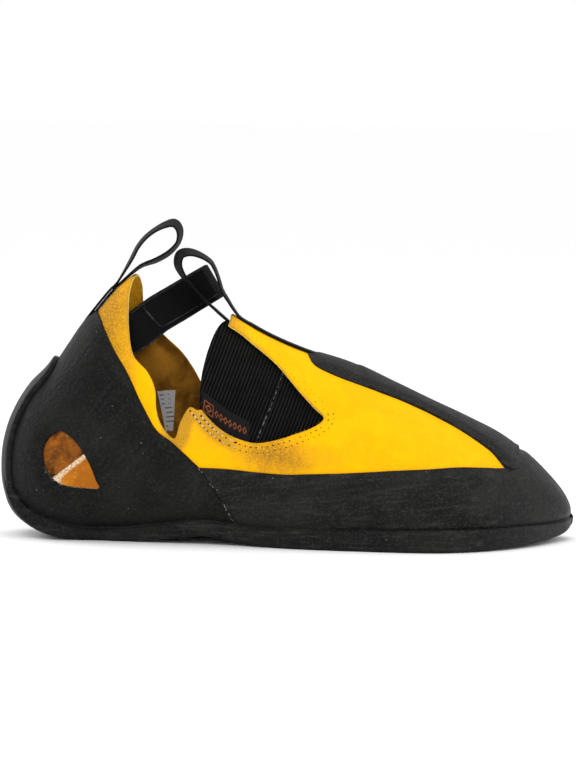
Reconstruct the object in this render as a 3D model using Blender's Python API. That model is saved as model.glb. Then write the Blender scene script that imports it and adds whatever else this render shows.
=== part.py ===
"""A right-foot slip-on climbing shoe, empty, standing on its sole.

Metres, +Z up, +X from heel to toe, +Y towards the inner (medial) side of the foot.
The origin is the middle of the heel's flat spot on the floor.

Every shell piece is cut from the same last: skin(row, turn, depth) is the outside of the
leather upper, moved out along its normal by depth. A place on it is given by its share of
the shoe's length and its level, from 0 under the foot to 1 on the ridge.
"""

import math

import bmesh
import bpy
from mathutils import Matrix, Vector

# Main sizes of the leather upper
LENGTH = 0.252  # heel to toe
BALL_WIDTH = 0.086  # across the ball
HEEL_WIDTH = 0.058  # across the heel
COLLAR_HEIGHT = 0.114  # underside to the tip of the heel collar
INSTEP_HEIGHT = 0.094  # underside to the back end of the instep strip
HEEL_REST = 0.170  # share of LENGTH from the heel to the origin

# Thicknesses
WALL = 0.0018  # suede upper
RAND = 0.0020  # rubber rands round toe and heel
SOLE = 0.0040  # outsole under the foot
SOLE_BACK = 0.0019  # outsole where it runs up the back of the heel
SOLE_STEP = 0.0009  # how far the outsole's side stands out from the rand
SOLE_CHAMFER = 0.0012  # outsole's lower edge
PATCH = 0.0016  # rubber patch over the toes
GORE = 0.0011  # elastic gore
INSOLE = 0.0026
GAP = 0.0003  # between pieces that touch
SEAT = GAP + RAND + GAP  # from the leather to the outsole
STACK = SEAT + SOLE  # from the floor to the leather

# Webbing and strap
WEBBING = 0.0011
WEBBING_WIDTH = 0.0090
HEEL_LOOP = 0.0300  # reach of the heel's pull loop
FRONT_LOOP = 0.0300  # reach of the front pull loop
STRAP = 0.0014
STRAP_WIDTH = 0.0165
STRAP_REACH = 0.0460  # from the strap's sewn ends to its front fold
STRAP_SLOPE = math.radians(31)

# Other sizes
HEEL_STRIP = 0.0230  # width of the outsole's strip up the back of the heel
HEEL_STRIP_TOP = 0.0725  # height of that strip above the leather's underside
RAND_SEAM = 0.00048  # between the front rand and the heel rand
WINDOW_INNER = HEEL_WIDTH / 8  # how far from the middle a window's cutter starts
SIDES_MEET = HEEL_WIDTH / 4  # nearer the middle, a cutter runs from its outer to its inner outline
FAR = 0.4  # well outside the shoe, for cutters
CUT = 0.006  # how far a cutter reaches past the leather, inwards and outwards
ROOM_AT_TOE = 2.6  # an inner form ends where the last is fewer depths high than this

# Sections of the last, heel to toe.
# x: share of LENGTH. ball: 0 follows the heel's sizes, 1 the ball's.
# low, wide, top: underside, widest place and ridge, as shares of the collar or instep height.
# lat, mid, med: outer side, middle and inner side, as shares of the heel or ball width.
# round_*: 2 is an ellipse, more is squarer.
# edge: height of the outsole's edge above the leather's underside, as a share of STACK.
COLUMNS = "x ball low wide top lat mid med round_low round_lat round_med edge".split()
SECTIONS = (
    (0.0000, 0.00, 0.223, 0.223, 0.223, 0.000, 0.000, 0.000, 2.2, 2.10, 2.10, 1.30),
    (0.0040, 0.00, 0.135, 0.223, 0.319, 0.121, 0.000, 0.121, 2.2, 2.10, 2.10, 1.30),
    (0.0180, 0.00, 0.064, 0.221, 0.416, 0.247, 0.000, 0.245, 2.3, 2.10, 2.10, 1.15),
    (0.0440, 0.00, 0.026, 0.216, 0.515, 0.359, 0.000, 0.356, 2.5, 2.10, 2.10, 0.62),
    (0.0800, 0.00, 0.005, 0.211, 0.602, 0.445, 0.000, 0.440, 2.9, 2.10, 2.10, 0.25),
    (0.1350, 0.00, 0.000, 0.200, 0.784, 0.497, 0.000, 0.490, 3.2, 2.20, 2.20, -0.20),
    (0.1950, 0.00, 0.000, 0.189, 0.945, 0.509, 0.000, 0.488, 3.2, 2.50, 2.50, -0.17),
    (0.2460, 0.00, 0.007, 0.174, 1.003, 0.510, 0.000, 0.480, 3.2, 2.60, 2.60, -0.04),
    (0.3020, 0.00, 0.021, 0.153, 0.974, 0.517, 0.000, 0.466, 3.1, 2.50, 2.50, 0.06),
    (0.3500, 0.20, 0.033, 0.135, 0.935, 0.492, 0.000, 0.421, 3.0, 2.30, 2.30, -0.02),
    (0.3970, 0.45, 0.022, 0.127, 0.893, 0.472, 0.007, 0.388, 3.1, 2.10, 2.20, 0.03),
    (0.4600, 0.75, 0.003, 0.119, 0.856, 0.458, 0.019, 0.371, 3.4, 2.00, 2.10, 0.15),
    (0.5320, 1.00, 0.000, 0.111, 0.823, 0.454, 0.035, 0.384, 3.8, 1.95, 2.10, 0.30),
    (0.6030, 1.00, 0.000, 0.105, 0.764, 0.477, 0.052, 0.430, 4.0, 1.90, 2.10, 0.35),
    (0.6830, 1.00, 0.000, 0.100, 0.666, 0.494, 0.073, 0.477, 4.0, 1.85, 2.20, 0.40),
    (0.7540, 1.00, 0.000, 0.097, 0.577, 0.488, 0.093, 0.509, 4.0, 1.80, 2.30, 0.50),
    (0.8170, 1.00, 0.005, 0.095, 0.500, 0.428, 0.116, 0.515, 4.0, 1.80, 2.30, 0.62),
    (0.8730, 1.00, 0.011, 0.089, 0.423, 0.319, 0.145, 0.492, 3.8, 1.85, 2.30, 0.72),
    (0.9210, 1.00, 0.016, 0.084, 0.330, 0.180, 0.174, 0.447, 3.5, 1.90, 2.20, 0.78),
    (0.9560, 1.00, 0.022, 0.079, 0.243, 0.047, 0.198, 0.391, 3.0, 2.00, 2.10, 0.74),
    (0.9840, 1.00, 0.035, 0.073, 0.158, -0.076, 0.219, 0.326, 2.5, 2.00, 2.00, 0.62),
    (0.9970, 1.00, 0.050, 0.068, 0.099, -0.163, 0.228, 0.285, 2.2, 2.00, 2.00, 0.42),
    (1.0000, 1.00, 0.064, 0.064, 0.064, -0.233, 0.233, 0.233, 2.0, 2.00, 2.00, 0.30),
)
TOE = len(SECTIONS) - 1
FLAT_FROM = 5  # the first row on the heel's flat spot

# Collar opening, from behind the tip round to the instep. Share and level, outer then inner side.
COLLAR = (
    (0.208, 1.30, 0.219, 1.30),
    (0.207, 0.97, 0.226, 0.97),
    (0.209, 0.82, 0.236, 0.81),
    (0.219, 0.69, 0.258, 0.76),
    (0.245, 0.609, 0.282, 0.73),
    (0.259, 0.54, 0.302, 0.68),
    (0.262, 0.46, 0.320, 0.62),
    (0.273, 0.395, 0.336, 0.57),
    (0.294, 0.350, 0.348, 0.53),
    (0.304, 0.42, 0.358, 0.505),
    (0.320, 0.49, 0.366, 0.50),
    (0.342, 0.512, 0.374, 0.52),
    (0.361, 0.79, 0.380, 0.80),
    (0.3905, 0.99, 0.3905, 0.99),
    (0.3915, 1.30, 0.3915, 1.30),
)
# Opening over each gore: share and level of its lower edge, then of its upper edge.
GORE_OPENING = (
    (0.330, 0.520, 0.350, 0.75),
    (0.362, 0.458, 0.376, 0.925),
    (0.400, 0.436, 0.402, 0.948),
    (0.438, 0.448, 0.434, 0.930),
    (0.475, 0.498, 0.470, 0.893),
    (0.513, 0.565, 0.511, 0.796),
    (0.538, 0.615, 0.539, 0.725),
    (0.552, 0.655, 0.5535, 0.695),
    (0.556, 0.672, 0.557, 0.680),
)
# Gore under that opening: lower edge, middle and upper edge.
GORE_PANEL = (
    (0.336, 0.440, 0.344, 0.690, 0.389, 0.980),
    (0.362, 0.395, 0.375, 0.660, 0.407, 0.975),
    (0.405, 0.375, 0.415, 0.660, 0.440, 0.957),
    (0.460, 0.415, 0.465, 0.660, 0.490, 0.915),
    (0.520, 0.510, 0.525, 0.660, 0.540, 0.800),
    (0.575, 0.620, 0.577, 0.665, 0.580, 0.710),
)
# Front edge of the heel rand, top to bottom, down to its seam with the front rand.
HEEL_FRONT = (
    (0.148, 1.030, 0.148, 1.030),
    (0.158, 0.955, 0.166, 0.900),
    (0.183, 0.768, 0.190, 0.770),
    (0.210, 0.626, 0.226, 0.631),
    (0.236, 0.489, 0.258, 0.516),
    (0.262, 0.385, 0.290, 0.420),
    (0.288, 0.340, 0.317, 0.357),
    (0.314, 0.292, 0.349, 0.305),
    (0.339, 0.243, 0.377, 0.262),
)
# That seam, from the top of the rands to under the arch.
SEAM = (
    (0.339, 0.243, 0.377, 0.262),
    (0.361, 0.181, 0.393, 0.185),
    (0.385, 0.105, 0.410, 0.105),
    (0.406, 0.039, 0.428, 0.035),
    (0.425, -0.08, 0.445, -0.08),
)
# Top edge of the front rand, from the seam to the toe patch and over the ridge.
RAND_TOP = (
    (0.339, 0.243, 0.377, 0.262),
    (0.389, 0.274, 0.410, 0.285),
    (0.439, 0.302, 0.450, 0.310),
    (0.490, 0.324, 0.490, 0.335),
    (0.539, 0.351, 0.539, 0.360),
    (0.589, 0.377, 0.589, 0.385),
    (0.639, 0.418, 0.639, 0.425),
    (0.689, 0.471, 0.689, 0.475),
    (0.739, 0.532, 0.739, 0.530),
    (0.789, 0.607, 0.789, 0.600),
    (0.839, 0.713, 0.839, 0.700),
    (0.872, 0.825, 0.868, 0.800),
    (0.892, 0.930, 0.888, 0.910),
    (0.908, 1.050, 0.906, 1.050),
)
# Toe patch, back to front: outer edge, then inner edge.
PATCH_EDGE = (
    (0.527, 0.990, 0.527, 0.990),
    (0.536, 0.955, 0.536, 0.965),
    (0.560, 0.932, 0.560, 0.945),
    (0.600, 0.918, 0.600, 0.925),
    (0.650, 0.928, 0.650, 0.915),
    (0.700, 0.938, 0.700, 0.905),
    (0.750, 0.936, 0.750, 0.890),
    (0.800, 0.910, 0.800, 0.865),
    (0.845, 0.855, 0.845, 0.820),
    (0.880, 0.760, 0.880, 0.740),
    (0.930, 0.700, 0.930, 0.700),
)
# Teardrop window in the heel rand, on both sides.
WINDOW = (
    (0.089, 0.565), (0.102, 0.514), (0.114, 0.457), (0.126, 0.393), (0.140, 0.300), (0.154, 0.205),
    (0.156, 0.170), (0.128, 0.187), (0.094, 0.239), (0.074, 0.319), (0.064, 0.385), (0.060, 0.475),
    (0.063, 0.544), (0.074, 0.576),
)  # fmt: skip

# Free part of the heel loop, from the outer strand round to the strand on the leather.
# back: behind the collar's tip, up: above it, out: towards the outer side, as shares of
# HEEL_LOOP. turn: degrees that the webbing has turned about its length.
HEEL_LOOP_ROUTE = (
    (0.170, 0.170, 0.00, 0),
    (0.060, 0.380, 0.00, 6),
    (-0.120, 0.560, 0.02, 16),
    (-0.290, 0.665, 0.04, 28),
    (-0.450, 0.730, 0.06, 42),
    (-0.580, 0.720, 0.07, 46),
    (-0.660, 0.620, 0.06, 40),
    (-0.640, 0.470, 0.05, 30),
    (-0.500, 0.310, 0.03, 22),
    (-0.300, 0.200, 0.02, 12),
    (-0.090, 0.120, 0.00, 4),
)
# Free part of the front loop, from the strand on the strip round to the strand under it,
# measured in the same way from the strip's back end, as shares of FRONT_LOOP.
FRONT_LOOP_ROUTE = (
    (0.070, 0.200, 0.08, 0),
    (0.180, 0.360, 0.17, -4),
    (0.255, 0.560, 0.20, -8),
    (0.360, 0.740, 0.27, -20),
    (0.510, 0.850, 0.33, -34),
    (0.670, 0.895, 0.37, -40),
    (0.790, 0.850, 0.40, -34),
    (0.810, 0.710, 0.41, -20),
    (0.710, 0.520, 0.38, -10),
    (0.510, 0.280, 0.29, -4),
    (0.270, 0.070, 0.14, 0),
    (0.090, -0.090, 0.04, 0),
)
# Free part of the strap, from the outer wall over the ankle to the inner wall.
# along: share of STRAP_REACH. side: share of HEEL_WIDTH. lean: towards the shoe's middle.
STRAP_ROUTE = (
    (0.36, -0.232, 0.22),
    (0.56, -0.120, 0.10),
    (0.76, 0.000, 0.04),
    (0.93, 0.090, 0.00),
    (0.985, 0.120, 0.00),
    (1.00, 0.165, 0.00),
    (0.985, 0.212, 0.00),
    (0.92, 0.235, 0.00),
    (0.76, 0.250, -0.06),
    (0.56, 0.265, -0.16),
    (0.36, 0.274, -0.26),
)
STRAP_SEWN = ((0.200, 0.782), (0.224, 0.785))  # share and level of its sewn ends, on each wall
# Shares of LENGTH: the heel loop's sewn strands, the front loop's tail, and its strand under the strip.
HEEL_LOOP_SEWN = (0.155, 0.167, 0.179, 0.191)
HEEL_LOOP_TIP = 0.214
FRONT_LOOP_TAIL = (0.523, 0.50, 0.475, 0.45, 0.425, 0.402)
FRONT_LOOP_HIDDEN = (0.398, 0.410, 0.425)
FRONT_LOOP_TIP = 0.3915
# Outsole's strip up the heel: half width as a share of HEEL_STRIP / 2, height of HEEL_STRIP_TOP.
HEEL_STRIP_SIDE = (
    (1.10, 0.10), (1.04, 0.30), (0.98, 0.52), (0.90, 0.74), (0.80, 0.88), (0.60, 0.96), (0.30, 0.995),
)  # fmt: skip
HEEL_STRIP_FRONT = 0.14  # share of LENGTH where its cutter ends
STRAP_EASE = 0.0018  # more room behind the flat strap, because the wall is curved

SUEDE = ("suede", (0.90, 0.62, 0.02), 0.90)
RUBBER = ("rubber", (0.030, 0.030, 0.031), 0.62)
SOLE_RUBBER = ("sole rubber", (0.025, 0.025, 0.026), 0.55)
ELASTIC = ("elastic", (0.020, 0.020, 0.021), 0.80)
WOVEN = ("woven tape", (0.028, 0.028, 0.030), 0.75)
BOARD = ("insole board", (0.32, 0.22, 0.11), 0.90)


def mirrored(row, pole):
    """The section that would follow a pole if the last went on through it, so its end is round."""
    other = dict(zip(COLUMNS, row))
    tip = dict(zip(COLUMNS, pole))
    for c in ("lat", "mid", "med", "low", "top"):
        other[c] = 2 * tip[c] - other[c]
    return tuple(other[c] for c in COLUMNS)


PADDED = (mirrored(SECTIONS[1], SECTIONS[0]), *SECTIONS, mirrored(SECTIONS[-2], SECTIONS[-1]))


def between(p0, p1, p2, p3, t):
    """A smooth curve from p1 to p2."""
    bend = 2 * p0 - 5 * p1 + 4 * p2 - p3
    return 0.5 * (2 * p1 + (p2 - p0) * t + bend * t * t + (3 * p1 - 3 * p2 + p3 - p0) * t**3)


def smooth(points, steps):
    """A smooth run through tuples of numbers, with this many steps from each to the next."""
    first = tuple(2 * a - b for a, b in zip(points[0], points[1]))
    last = tuple(2 * a - b for a, b in zip(points[-1], points[-2]))
    padded = (first, *points, last)
    run = []
    for i in range(len(points) - 1):
        for k in range(steps):
            run.append(tuple(between(*four, k / steps) for four in zip(*padded[i : i + 4])))
    return [*run, tuple(points[-1])]


def section(row):
    """The last's section at a row number, which may lie between two rows, in metres."""
    i = min(int(row), TOE - 1)
    s = {c: between(*(r[k] for r in PADDED[i : i + 4]), row - i) for k, c in enumerate(COLUMNS)}
    width = HEEL_WIDTH + (BALL_WIDTH - HEEL_WIDTH) * s["ball"]
    height = COLLAR_HEIGHT + (INSTEP_HEIGHT - COLLAR_HEIGHT) * s["ball"]
    s["x"] = (s["x"] - HEEL_REST) * LENGTH
    for c in ("low", "wide", "top"):
        s[c] = STACK + max(s[c], 0.0) * height
    s["lat"], s["mid"], s["med"] = -s["lat"] * width, s["mid"] * width, s["med"] * width
    s["edge"] = s["low"] + s["edge"] * STACK
    return s


def base_point(row, turn):
    """A point of the last: turn 0 is underneath, 1 the outer side, 2 the ridge, 3 the inner side."""
    s = section(row)
    turn %= 4
    angle = (turn - int(turn)) * math.pi / 2
    side, power, end = (
        (s["lat"], s["round_low"], s["low"]),
        (s["lat"], s["round_lat"], s["top"]),
        (s["med"], s["round_med"], s["top"]),
        (s["med"], s["round_low"], s["low"]),
    )[int(turn)]
    across, upwards = math.sin(angle), math.cos(angle)
    if int(turn) in (1, 3):
        across, upwards = upwards, across
    y = s["mid"] + (side - s["mid"]) * abs(across) ** (2 / power)
    return Vector((s["x"], y, s["wide"] + (end - s["wide"]) * abs(upwards) ** (2 / power)))


def skin(row, turn, depth):
    """A point of the last, moved out along its normal."""
    if row in (0, TOE):
        return base_point(row, 0) + Vector((depth if row else -depth, 0, 0))
    step = 0.001
    along = base_point(row + step, turn) - base_point(row - step, turn)
    around = base_point(row, turn + step) - base_point(row, turn - step)
    return base_point(row, turn) + along.cross(around).normalized() * depth


def row_at(share):
    """The row at a share of the length."""
    low, high = 0.0, float(TOE)
    for _ in range(40):
        middle = (low + high) / 2
        if section(middle)["x"] < (share - HEEL_REST) * LENGTH:
            low = middle
        else:
            high = middle
    return low


def turn_at(row, level, inner):
    """The turn at a level between the underside and the ridge, on the outer or the inner side."""
    s = section(row)
    z = s["low"] + min(level, 1.0) * (s["top"] - s["low"])
    power = s["round_med"] if inner else s["round_lat"]
    if z >= s["wide"]:
        angle = math.asin(((z - s["wide"]) / (s["top"] - s["wide"])) ** (power / 2))
        turn = 1 + angle / (math.pi / 2)
    else:
        angle = math.acos(((s["wide"] - z) / (s["wide"] - s["low"])) ** (s["round_low"] / 2))
        turn = angle / (math.pi / 2)
    return 4 - turn if inner else turn


def side_point(share, level):
    """Where a share and level lie in the side view."""
    s = section(row_at(share))
    return (s["x"], s["low"] + level * (s["top"] - s["low"]))


def side_lines(table, steps=3, shift=0.0):
    """A table's outer and inner lines in the side view, moved forward by shift."""
    outer = [side_point(*row[:2]) for row in table]
    inner = [side_point(*row[2:]) for row in table]
    return [[(x + shift, z) for x, z in smooth(line, steps)] for line in (outer, inner)]


def material(look):
    """One Principled material for a piece."""
    name, colour, roughness = look
    made = bpy.data.materials.new(name)
    made.use_nodes = True
    shader = made.node_tree.nodes["Principled BSDF"]
    shader.inputs["Base Color"].default_value = (*colour, 1.0)
    shader.inputs["Roughness"].default_value = roughness
    shader.inputs["Metallic"].default_value = 0.0
    made.diffuse_color = (*colour, 1.0)
    return made


def add_object(name, points, faces, look=None):
    """An object from points and faces, as triangles facing out. Without a look it is a cutter."""
    mesh = bpy.data.meshes.new(name)
    mesh.from_pydata([tuple(p) for p in points], [], faces)
    made = bmesh.new()
    made.from_mesh(mesh)
    bmesh.ops.triangulate(made, faces=[f for f in made.faces if len(f.verts) > 4])
    bmesh.ops.recalc_face_normals(made, faces=made.faces)
    made.to_mesh(mesh)
    made.free()
    made = bpy.data.objects.new(name, mesh)
    bpy.context.scene.collection.objects.link(made)
    if look:
        mesh.materials.append(material(look))
    else:
        made.hide_render = True
        made.display_type = "WIRE"
    return made


def combine(target, operation, *others):
    """Boolean modifiers on target, one for each other object."""
    for other in others:
        cut = target.modifiers.new(other.name, "BOOLEAN")
        cut.operation = operation
        cut.solver = "EXACT"
        cut.object = other
    return target


def rounded(target):
    """Smooth shading, with the cut edges sharp."""
    target.data.shade_smooth()
    target.data.set_sharp_from_angle(angle=math.radians(40))
    return target


def split_quads(rings, closed):
    """Triangles between rings of point numbers, all split along the same diagonal."""
    faces = []
    for a, b in zip(rings, rings[1:]):
        for k in range(len(a) if closed else len(a) - 1):
            n = (k + 1) % len(a)
            faces += [(a[k], b[k], b[n]), (a[k], b[n], a[n])]
    return faces


ROWS = [1, 2, 2.5, 3, 3.5, 4, 4.5, *range(5, 11), 10.5, 11, 11.5, 12, 13, 14]
ROWS += [*(i / 2 for i in range(30, 2 * TOE - 3)), TOE - 1]
OPEN_ROWS = range(4, TOE - 2)  # where the leather is open underneath
OPEN_TURNS = (3.62, 3.8, 4.0, 4.2, 4.38)
FILLER_ROWS = [4.2, *range(5, TOE - 3), TOE - 3.2]  # where the insole fills that opening
FILLER_TURNS = (3.67, 3.8, 4.0, 4.2, 4.33)
LOW_TURNS, HIGH_TURNS = 4, 6
TURNS = [
    *(i / LOW_TURNS for i in range(LOW_TURNS)),
    *(1 + i / HIGH_TURNS for i in range(2 * HIGH_TURNS)),
    *(3 + i / LOW_TURNS for i in range(LOW_TURNS)),
]


def form(name, depth, look=None):
    """The whole last, moved out by depth, as a closed solid. An inner one stops short of the toe."""
    rows = [r for r in ROWS if section(r)["top"] - section(r)["low"] > -ROOM_AT_TOE * depth]
    points = [skin(row, turn, depth) for row in rows for turn in TURNS]
    rings = [[i * len(TURNS) + k for k in range(len(TURNS))] for i in range(len(rows))]
    faces = split_quads(rings, closed=True)
    tips = [skin(0, 0, depth), skin(TOE, 0, depth)]
    if rows[-1] < ROWS[-1]:
        tips[1] = sum((points[n] for n in rings[-1]), Vector()) / len(TURNS)
    for tip, ring in zip(tips, (rings[0][::-1], rings[-1])):
        points.append(tip)
        faces += [(a, len(points) - 1, b) for a, b in zip(ring, ring[1:] + ring[:1])]
    return add_object(name, points, faces, look)


def slab(name, net, inner, outer, look=None):
    """A solid over a net of (row, turn) places, between two depths."""
    wide = len(net[0])
    points = [skin(row, turn, depth) for depth in (outer, inner) for line in net for row, turn in line]
    top = [[i * wide + k for k in range(wide)] for i in range(len(net))]
    bottom = [[len(net) * wide + n for n in line] for line in top]
    rim = [*top[0], *(line[-1] for line in top[1:-1]), *top[-1][::-1]]
    rim += [line[0] for line in top[-2:0:-1]]
    faces = split_quads(top, closed=False) + split_quads([line[::-1] for line in bottom], closed=False)
    faces += split_quads([rim, [n + len(net) * wide for n in rim]], closed=True)
    return add_object(name, points, faces, look)


def net_between(table, sides, along=2, across=6):
    """A net of (row, turn) places through a table of shares and levels."""
    lines = []
    for entry in table:
        places = []
        for k, inner in enumerate(sides):
            row = row_at(entry[2 * k])
            places.append((row, turn_at(row, entry[2 * k + 1], inner)))
        lines.append(smooth(places, across // (len(places) - 1)))
    columns = [smooth(column, along) for column in zip(*lines)]
    return list(zip(*columns))


def side_cutter(name, outer, inner):
    """A prism across the shoe between an outline for the outer side and one for the inner side."""
    stations = ((-FAR / 2, outer), (-SIDES_MEET, outer), (SIDES_MEET, inner), (FAR / 2, inner))
    points = [(x, y, z) for y, outline in stations for x, z in outline]
    rings = [[i * len(outer) + k for k in range(len(outer))] for i in range(len(stations))]
    faces = [rings[0], rings[-1][::-1], *split_quads(rings, closed=True)]
    return add_object(name, points, faces)


def window_cutter(name, side):
    """A teardrop prism through one side of the heel rand."""
    outline = smooth([side_point(*place) for place in (*WINDOW, WINDOW[0])], 2)[:-1]
    points = [(x, side * y, z) for y in (WINDOW_INNER, FAR / 2) for x, z in outline]
    rings = [[i * len(outline) + k for k in range(len(outline))] for i in range(2)]
    return add_object(name, points, [rings[0], rings[1][::-1], *split_quads(rings, closed=True)])


def upper():
    """The leather: one hollow shell, open at the collar, over the gores and underneath."""
    shell = form("upper", 0.0, SUEDE)
    combine(shell, "DIFFERENCE", form("upper_inside", -WALL))
    combine(shell, "DIFFERENCE", side_cutter("collar_opening", *side_lines(COLLAR, 2)))
    for name, inner in (("outer_gore_opening", False), ("inner_gore_opening", True)):
        table = GORE_OPENING[1:] if inner else GORE_OPENING
        net = net_between(table, (inner, inner))
        combine(shell, "DIFFERENCE", slab(name, net, -CUT, CUT))
    net = [[(row, turn) for turn in OPEN_TURNS] for row in OPEN_ROWS]
    combine(shell, "DIFFERENCE", slab("sole_opening", net, -CUT, CUT))
    return rounded(shell)


def insole():
    """A thin board inside, over the open underside of the leather."""
    turns = [4 + i / LOW_TURNS for i in range(2 - LOW_TURNS, LOW_TURNS - 1)]
    net = [[(row, turn) for turn in turns] for row in ROWS if 3 <= row < TOE - 2]
    inner = -(WALL + GAP + INSOLE)
    board = slab("insole", net, inner, -(WALL + GAP), BOARD)
    net = [[(row, turn) for turn in FILLER_TURNS] for row in FILLER_ROWS]
    return combine(board, "UNION", slab("insole_filler", net, inner + INSOLE / 2, -GAP))


def gore(name, inner):
    """Elastic panel inside the leather, under one of its openings."""
    panel = form(name, -(WALL + GAP), ELASTIC)
    combine(panel, "DIFFERENCE", form(name + "_inside", -(WALL + GAP + GORE)))
    net = net_between(GORE_PANEL, (inner, inner, inner), along=3)
    return rounded(combine(panel, "INTERSECT", slab(name + "_outline", net, -CUT, CUT)))


def rand_outline(shift):
    """Side outlines of all that the front rand covers, moved forward by shift."""
    seams, tops = side_lines(SEAM, 2, shift), side_lines(RAND_TOP, 2, shift)
    outlines = []
    for seam, top in zip(seams, tops):
        over = [(top[-1][0], FAR), (FAR, FAR), (FAR, -FAR), (seam[-1][0], -FAR)]
        outlines.append([*seam[::-1], *top[1:], *over])
    return outlines


def band(name, thickness, look):
    """A layer of rubber all round the last, to be cut to its outline."""
    layer = form(name, GAP + thickness, look)
    return combine(layer, "DIFFERENCE", form(name + "_inside", GAP))


def front_rand():
    """Rubber rand round the toes and along the arch, passing under the foot."""
    layer = band("front_rand", RAND, RUBBER)
    return rounded(combine(layer, "INTERSECT", side_cutter("front_rand_outline", *rand_outline(RAND_SEAM))))


def heel_rand():
    """Rubber round the heel, with a teardrop window on each side."""
    layer = band("heel_rand", RAND, RUBBER)
    outlines = []
    for front, seam in zip(side_lines(HEEL_FRONT, 2), side_lines(SEAM, 2)):
        back = [(seam[-1][0], -FAR), (-FAR, -FAR), (-FAR, front[0][1])]
        outlines.append([*front, *seam[1:], *back])
    combine(layer, "INTERSECT", side_cutter("heel_rand_outline", *outlines))
    combine(layer, "DIFFERENCE", window_cutter("outer_window", -1), window_cutter("inner_window", 1))
    return rounded(layer)


def toe_patch():
    """Rubber patch over the toes, behind the front rand."""
    layer = band("toe_patch", PATCH, RUBBER)
    net = net_between(PATCH_EDGE, (False, True), along=2, across=8)
    combine(layer, "INTERSECT", slab("toe_patch_outline", net, -CUT, CUT))
    return rounded(combine(layer, "DIFFERENCE", side_cutter("toe_patch_front", *rand_outline(0.0))))


def sole_ring(row):
    """The outsole's section at a row: a flat trough with low sides, rounder at the heel's back."""
    s = section(row)
    flat = min(max((row - 1) / (FLAT_FROM - 1), 0.0), 1.0)
    thick = SOLE_BACK - GAP + (SOLE - SOLE_BACK + GAP) * flat
    under, down = Vector((s["x"], s["mid"], s["low"] - STACK)), Vector((0, 0, -1))
    if row < FLAT_FROM:
        under, down = skin(row, 0, SEAT + thick), (skin(row, 0, 1.0) - skin(row, 0, 0.0)).normalized()
    sides = []
    for inner in (False, True):
        turn = edge_turn(row, s, inner)
        edge = skin(row, turn, SEAT + SOLE_STEP)
        edge.z = s["edge"]
        inwards = (skin(row, turn, 0.0) - skin(row, turn, SOLE_CHAMFER)) * Vector((1, 1, 0))
        corner = edge + down * (under - edge).dot(down)
        trough = (corner + inwards / 4 - down * SOLE_CHAMFER, corner + inwards, corner.lerp(under, 0.4))
        places = [edge]
        for share, point in zip((0.9, 0.8, 0.5), trough):
            part_turn = 4 + (turn - 4) * share if inner else turn * share
            places.append(skin(row, part_turn, SEAT + thick).lerp(point, flat))
        sides.append(places)
    outer, inner = sides
    return [*outer, under, *inner[::-1], (outer[0] + inner[0]) / 2]


def edge_turn(row, s, inner):
    """The turn where the outsole's edge starts: at its height, but no higher than the widest place."""
    low, high = 0.0, 1.0
    for _ in range(30):
        turn = (low + high) / 2
        if skin(row, 4 - turn if inner else turn, SEAT + SOLE_STEP).z < s["edge"]:
            low = turn
        else:
            high = turn
    return 4 - low if inner else low


def outsole():
    """The sole: flat under heel and forefoot, sprung at arch and toe, and up the back of the heel."""
    rows = [1, 1.5, *ROWS[1:], TOE - 0.5]
    points = [p for row in rows for p in sole_ring(row)]
    count = len(sole_ring(rows[0]))
    rings = [[i * count + k for k in range(count)] for i in range(len(rows))]
    faces = [*split_quads(rings, closed=True), rings[0]]
    tip = skin(TOE, 0, SEAT + SOLE_STEP)
    tip.z = section(TOE)["edge"]
    foot = Vector((tip.x - SOLE_CHAMFER, tip.y, section(TOE)["low"] - STACK))
    points += [tip, tip.lerp(foot, 0.5) + Vector((SOLE_CHAMFER / 2, 0, 0)), foot]
    top, front, low = (len(points) - n for n in (3, 2, 1))
    ends = [top, front, low, low, low, low, low, front, top, top]
    last = rings[-1]
    for k in range(count):
        n = (k + 1) % count
        corners = [last[k], last[n], ends[n], ends[k]]
        faces.append(list(dict.fromkeys(corners)))
    sole = add_object("outsole", points, faces, SOLE_RUBBER)
    strip = form("heel_strip", SEAT + SOLE_BACK)
    combine(strip, "INTERSECT", heel_strip_outline())
    combine(sole, "UNION", strip)
    return rounded(combine(sole, "DIFFERENCE", form("outsole_seat", SEAT)))


def heel_strip_outline():
    """Rear outline of the strip up the back of the heel, as a prism along the shoe."""
    outline = smooth([(HEEL_STRIP / 2 * w, STACK + HEEL_STRIP_TOP * h) for w, h in HEEL_STRIP_SIDE], 2)
    outline = [*outline, (0.0, STACK + HEEL_STRIP_TOP), *((-y, z) for y, z in outline[::-1])]
    back, front = side_point(0.0, 0.0)[0] - CUT * 2, side_point(HEEL_STRIP_FRONT, 0.0)[0]
    points = [(x, y, z) for x in (back, front) for y, z in outline]
    rings = [[i * len(outline) + k for k in range(len(outline))] for i in range(2)]
    return add_object("heel_strip_outline", points, [rings[0], rings[1][::-1], *split_quads(rings, closed=True)])


def ribbon(name, places, width, thickness, look):
    """A flat tape through places of (x, y, z, and its width's direction)."""
    rings = []
    points = []
    for i, place in enumerate(places):
        centre = Vector(place[:3])
        ahead = Vector(places[min(i + 1, len(places) - 1)][:3])
        behind = Vector(places[max(i - 1, 0)][:3])
        across = Vector(place[3:]).normalized()
        forward = (ahead - behind).normalized()
        across = (across - forward * across.dot(forward)).normalized()
        up = forward.cross(across)
        rings.append([len(points) + k for k in range(4)])
        for a, b in ((-1, -1), (1, -1), (1, 1), (-1, 1)):
            points.append(centre + across * a * width / 2 + up * b * thickness / 2)
    faces = [rings[0], rings[-1][::-1], *split_quads(rings, closed=True)]
    return rounded(add_object(name, points, faces, look))


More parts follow.
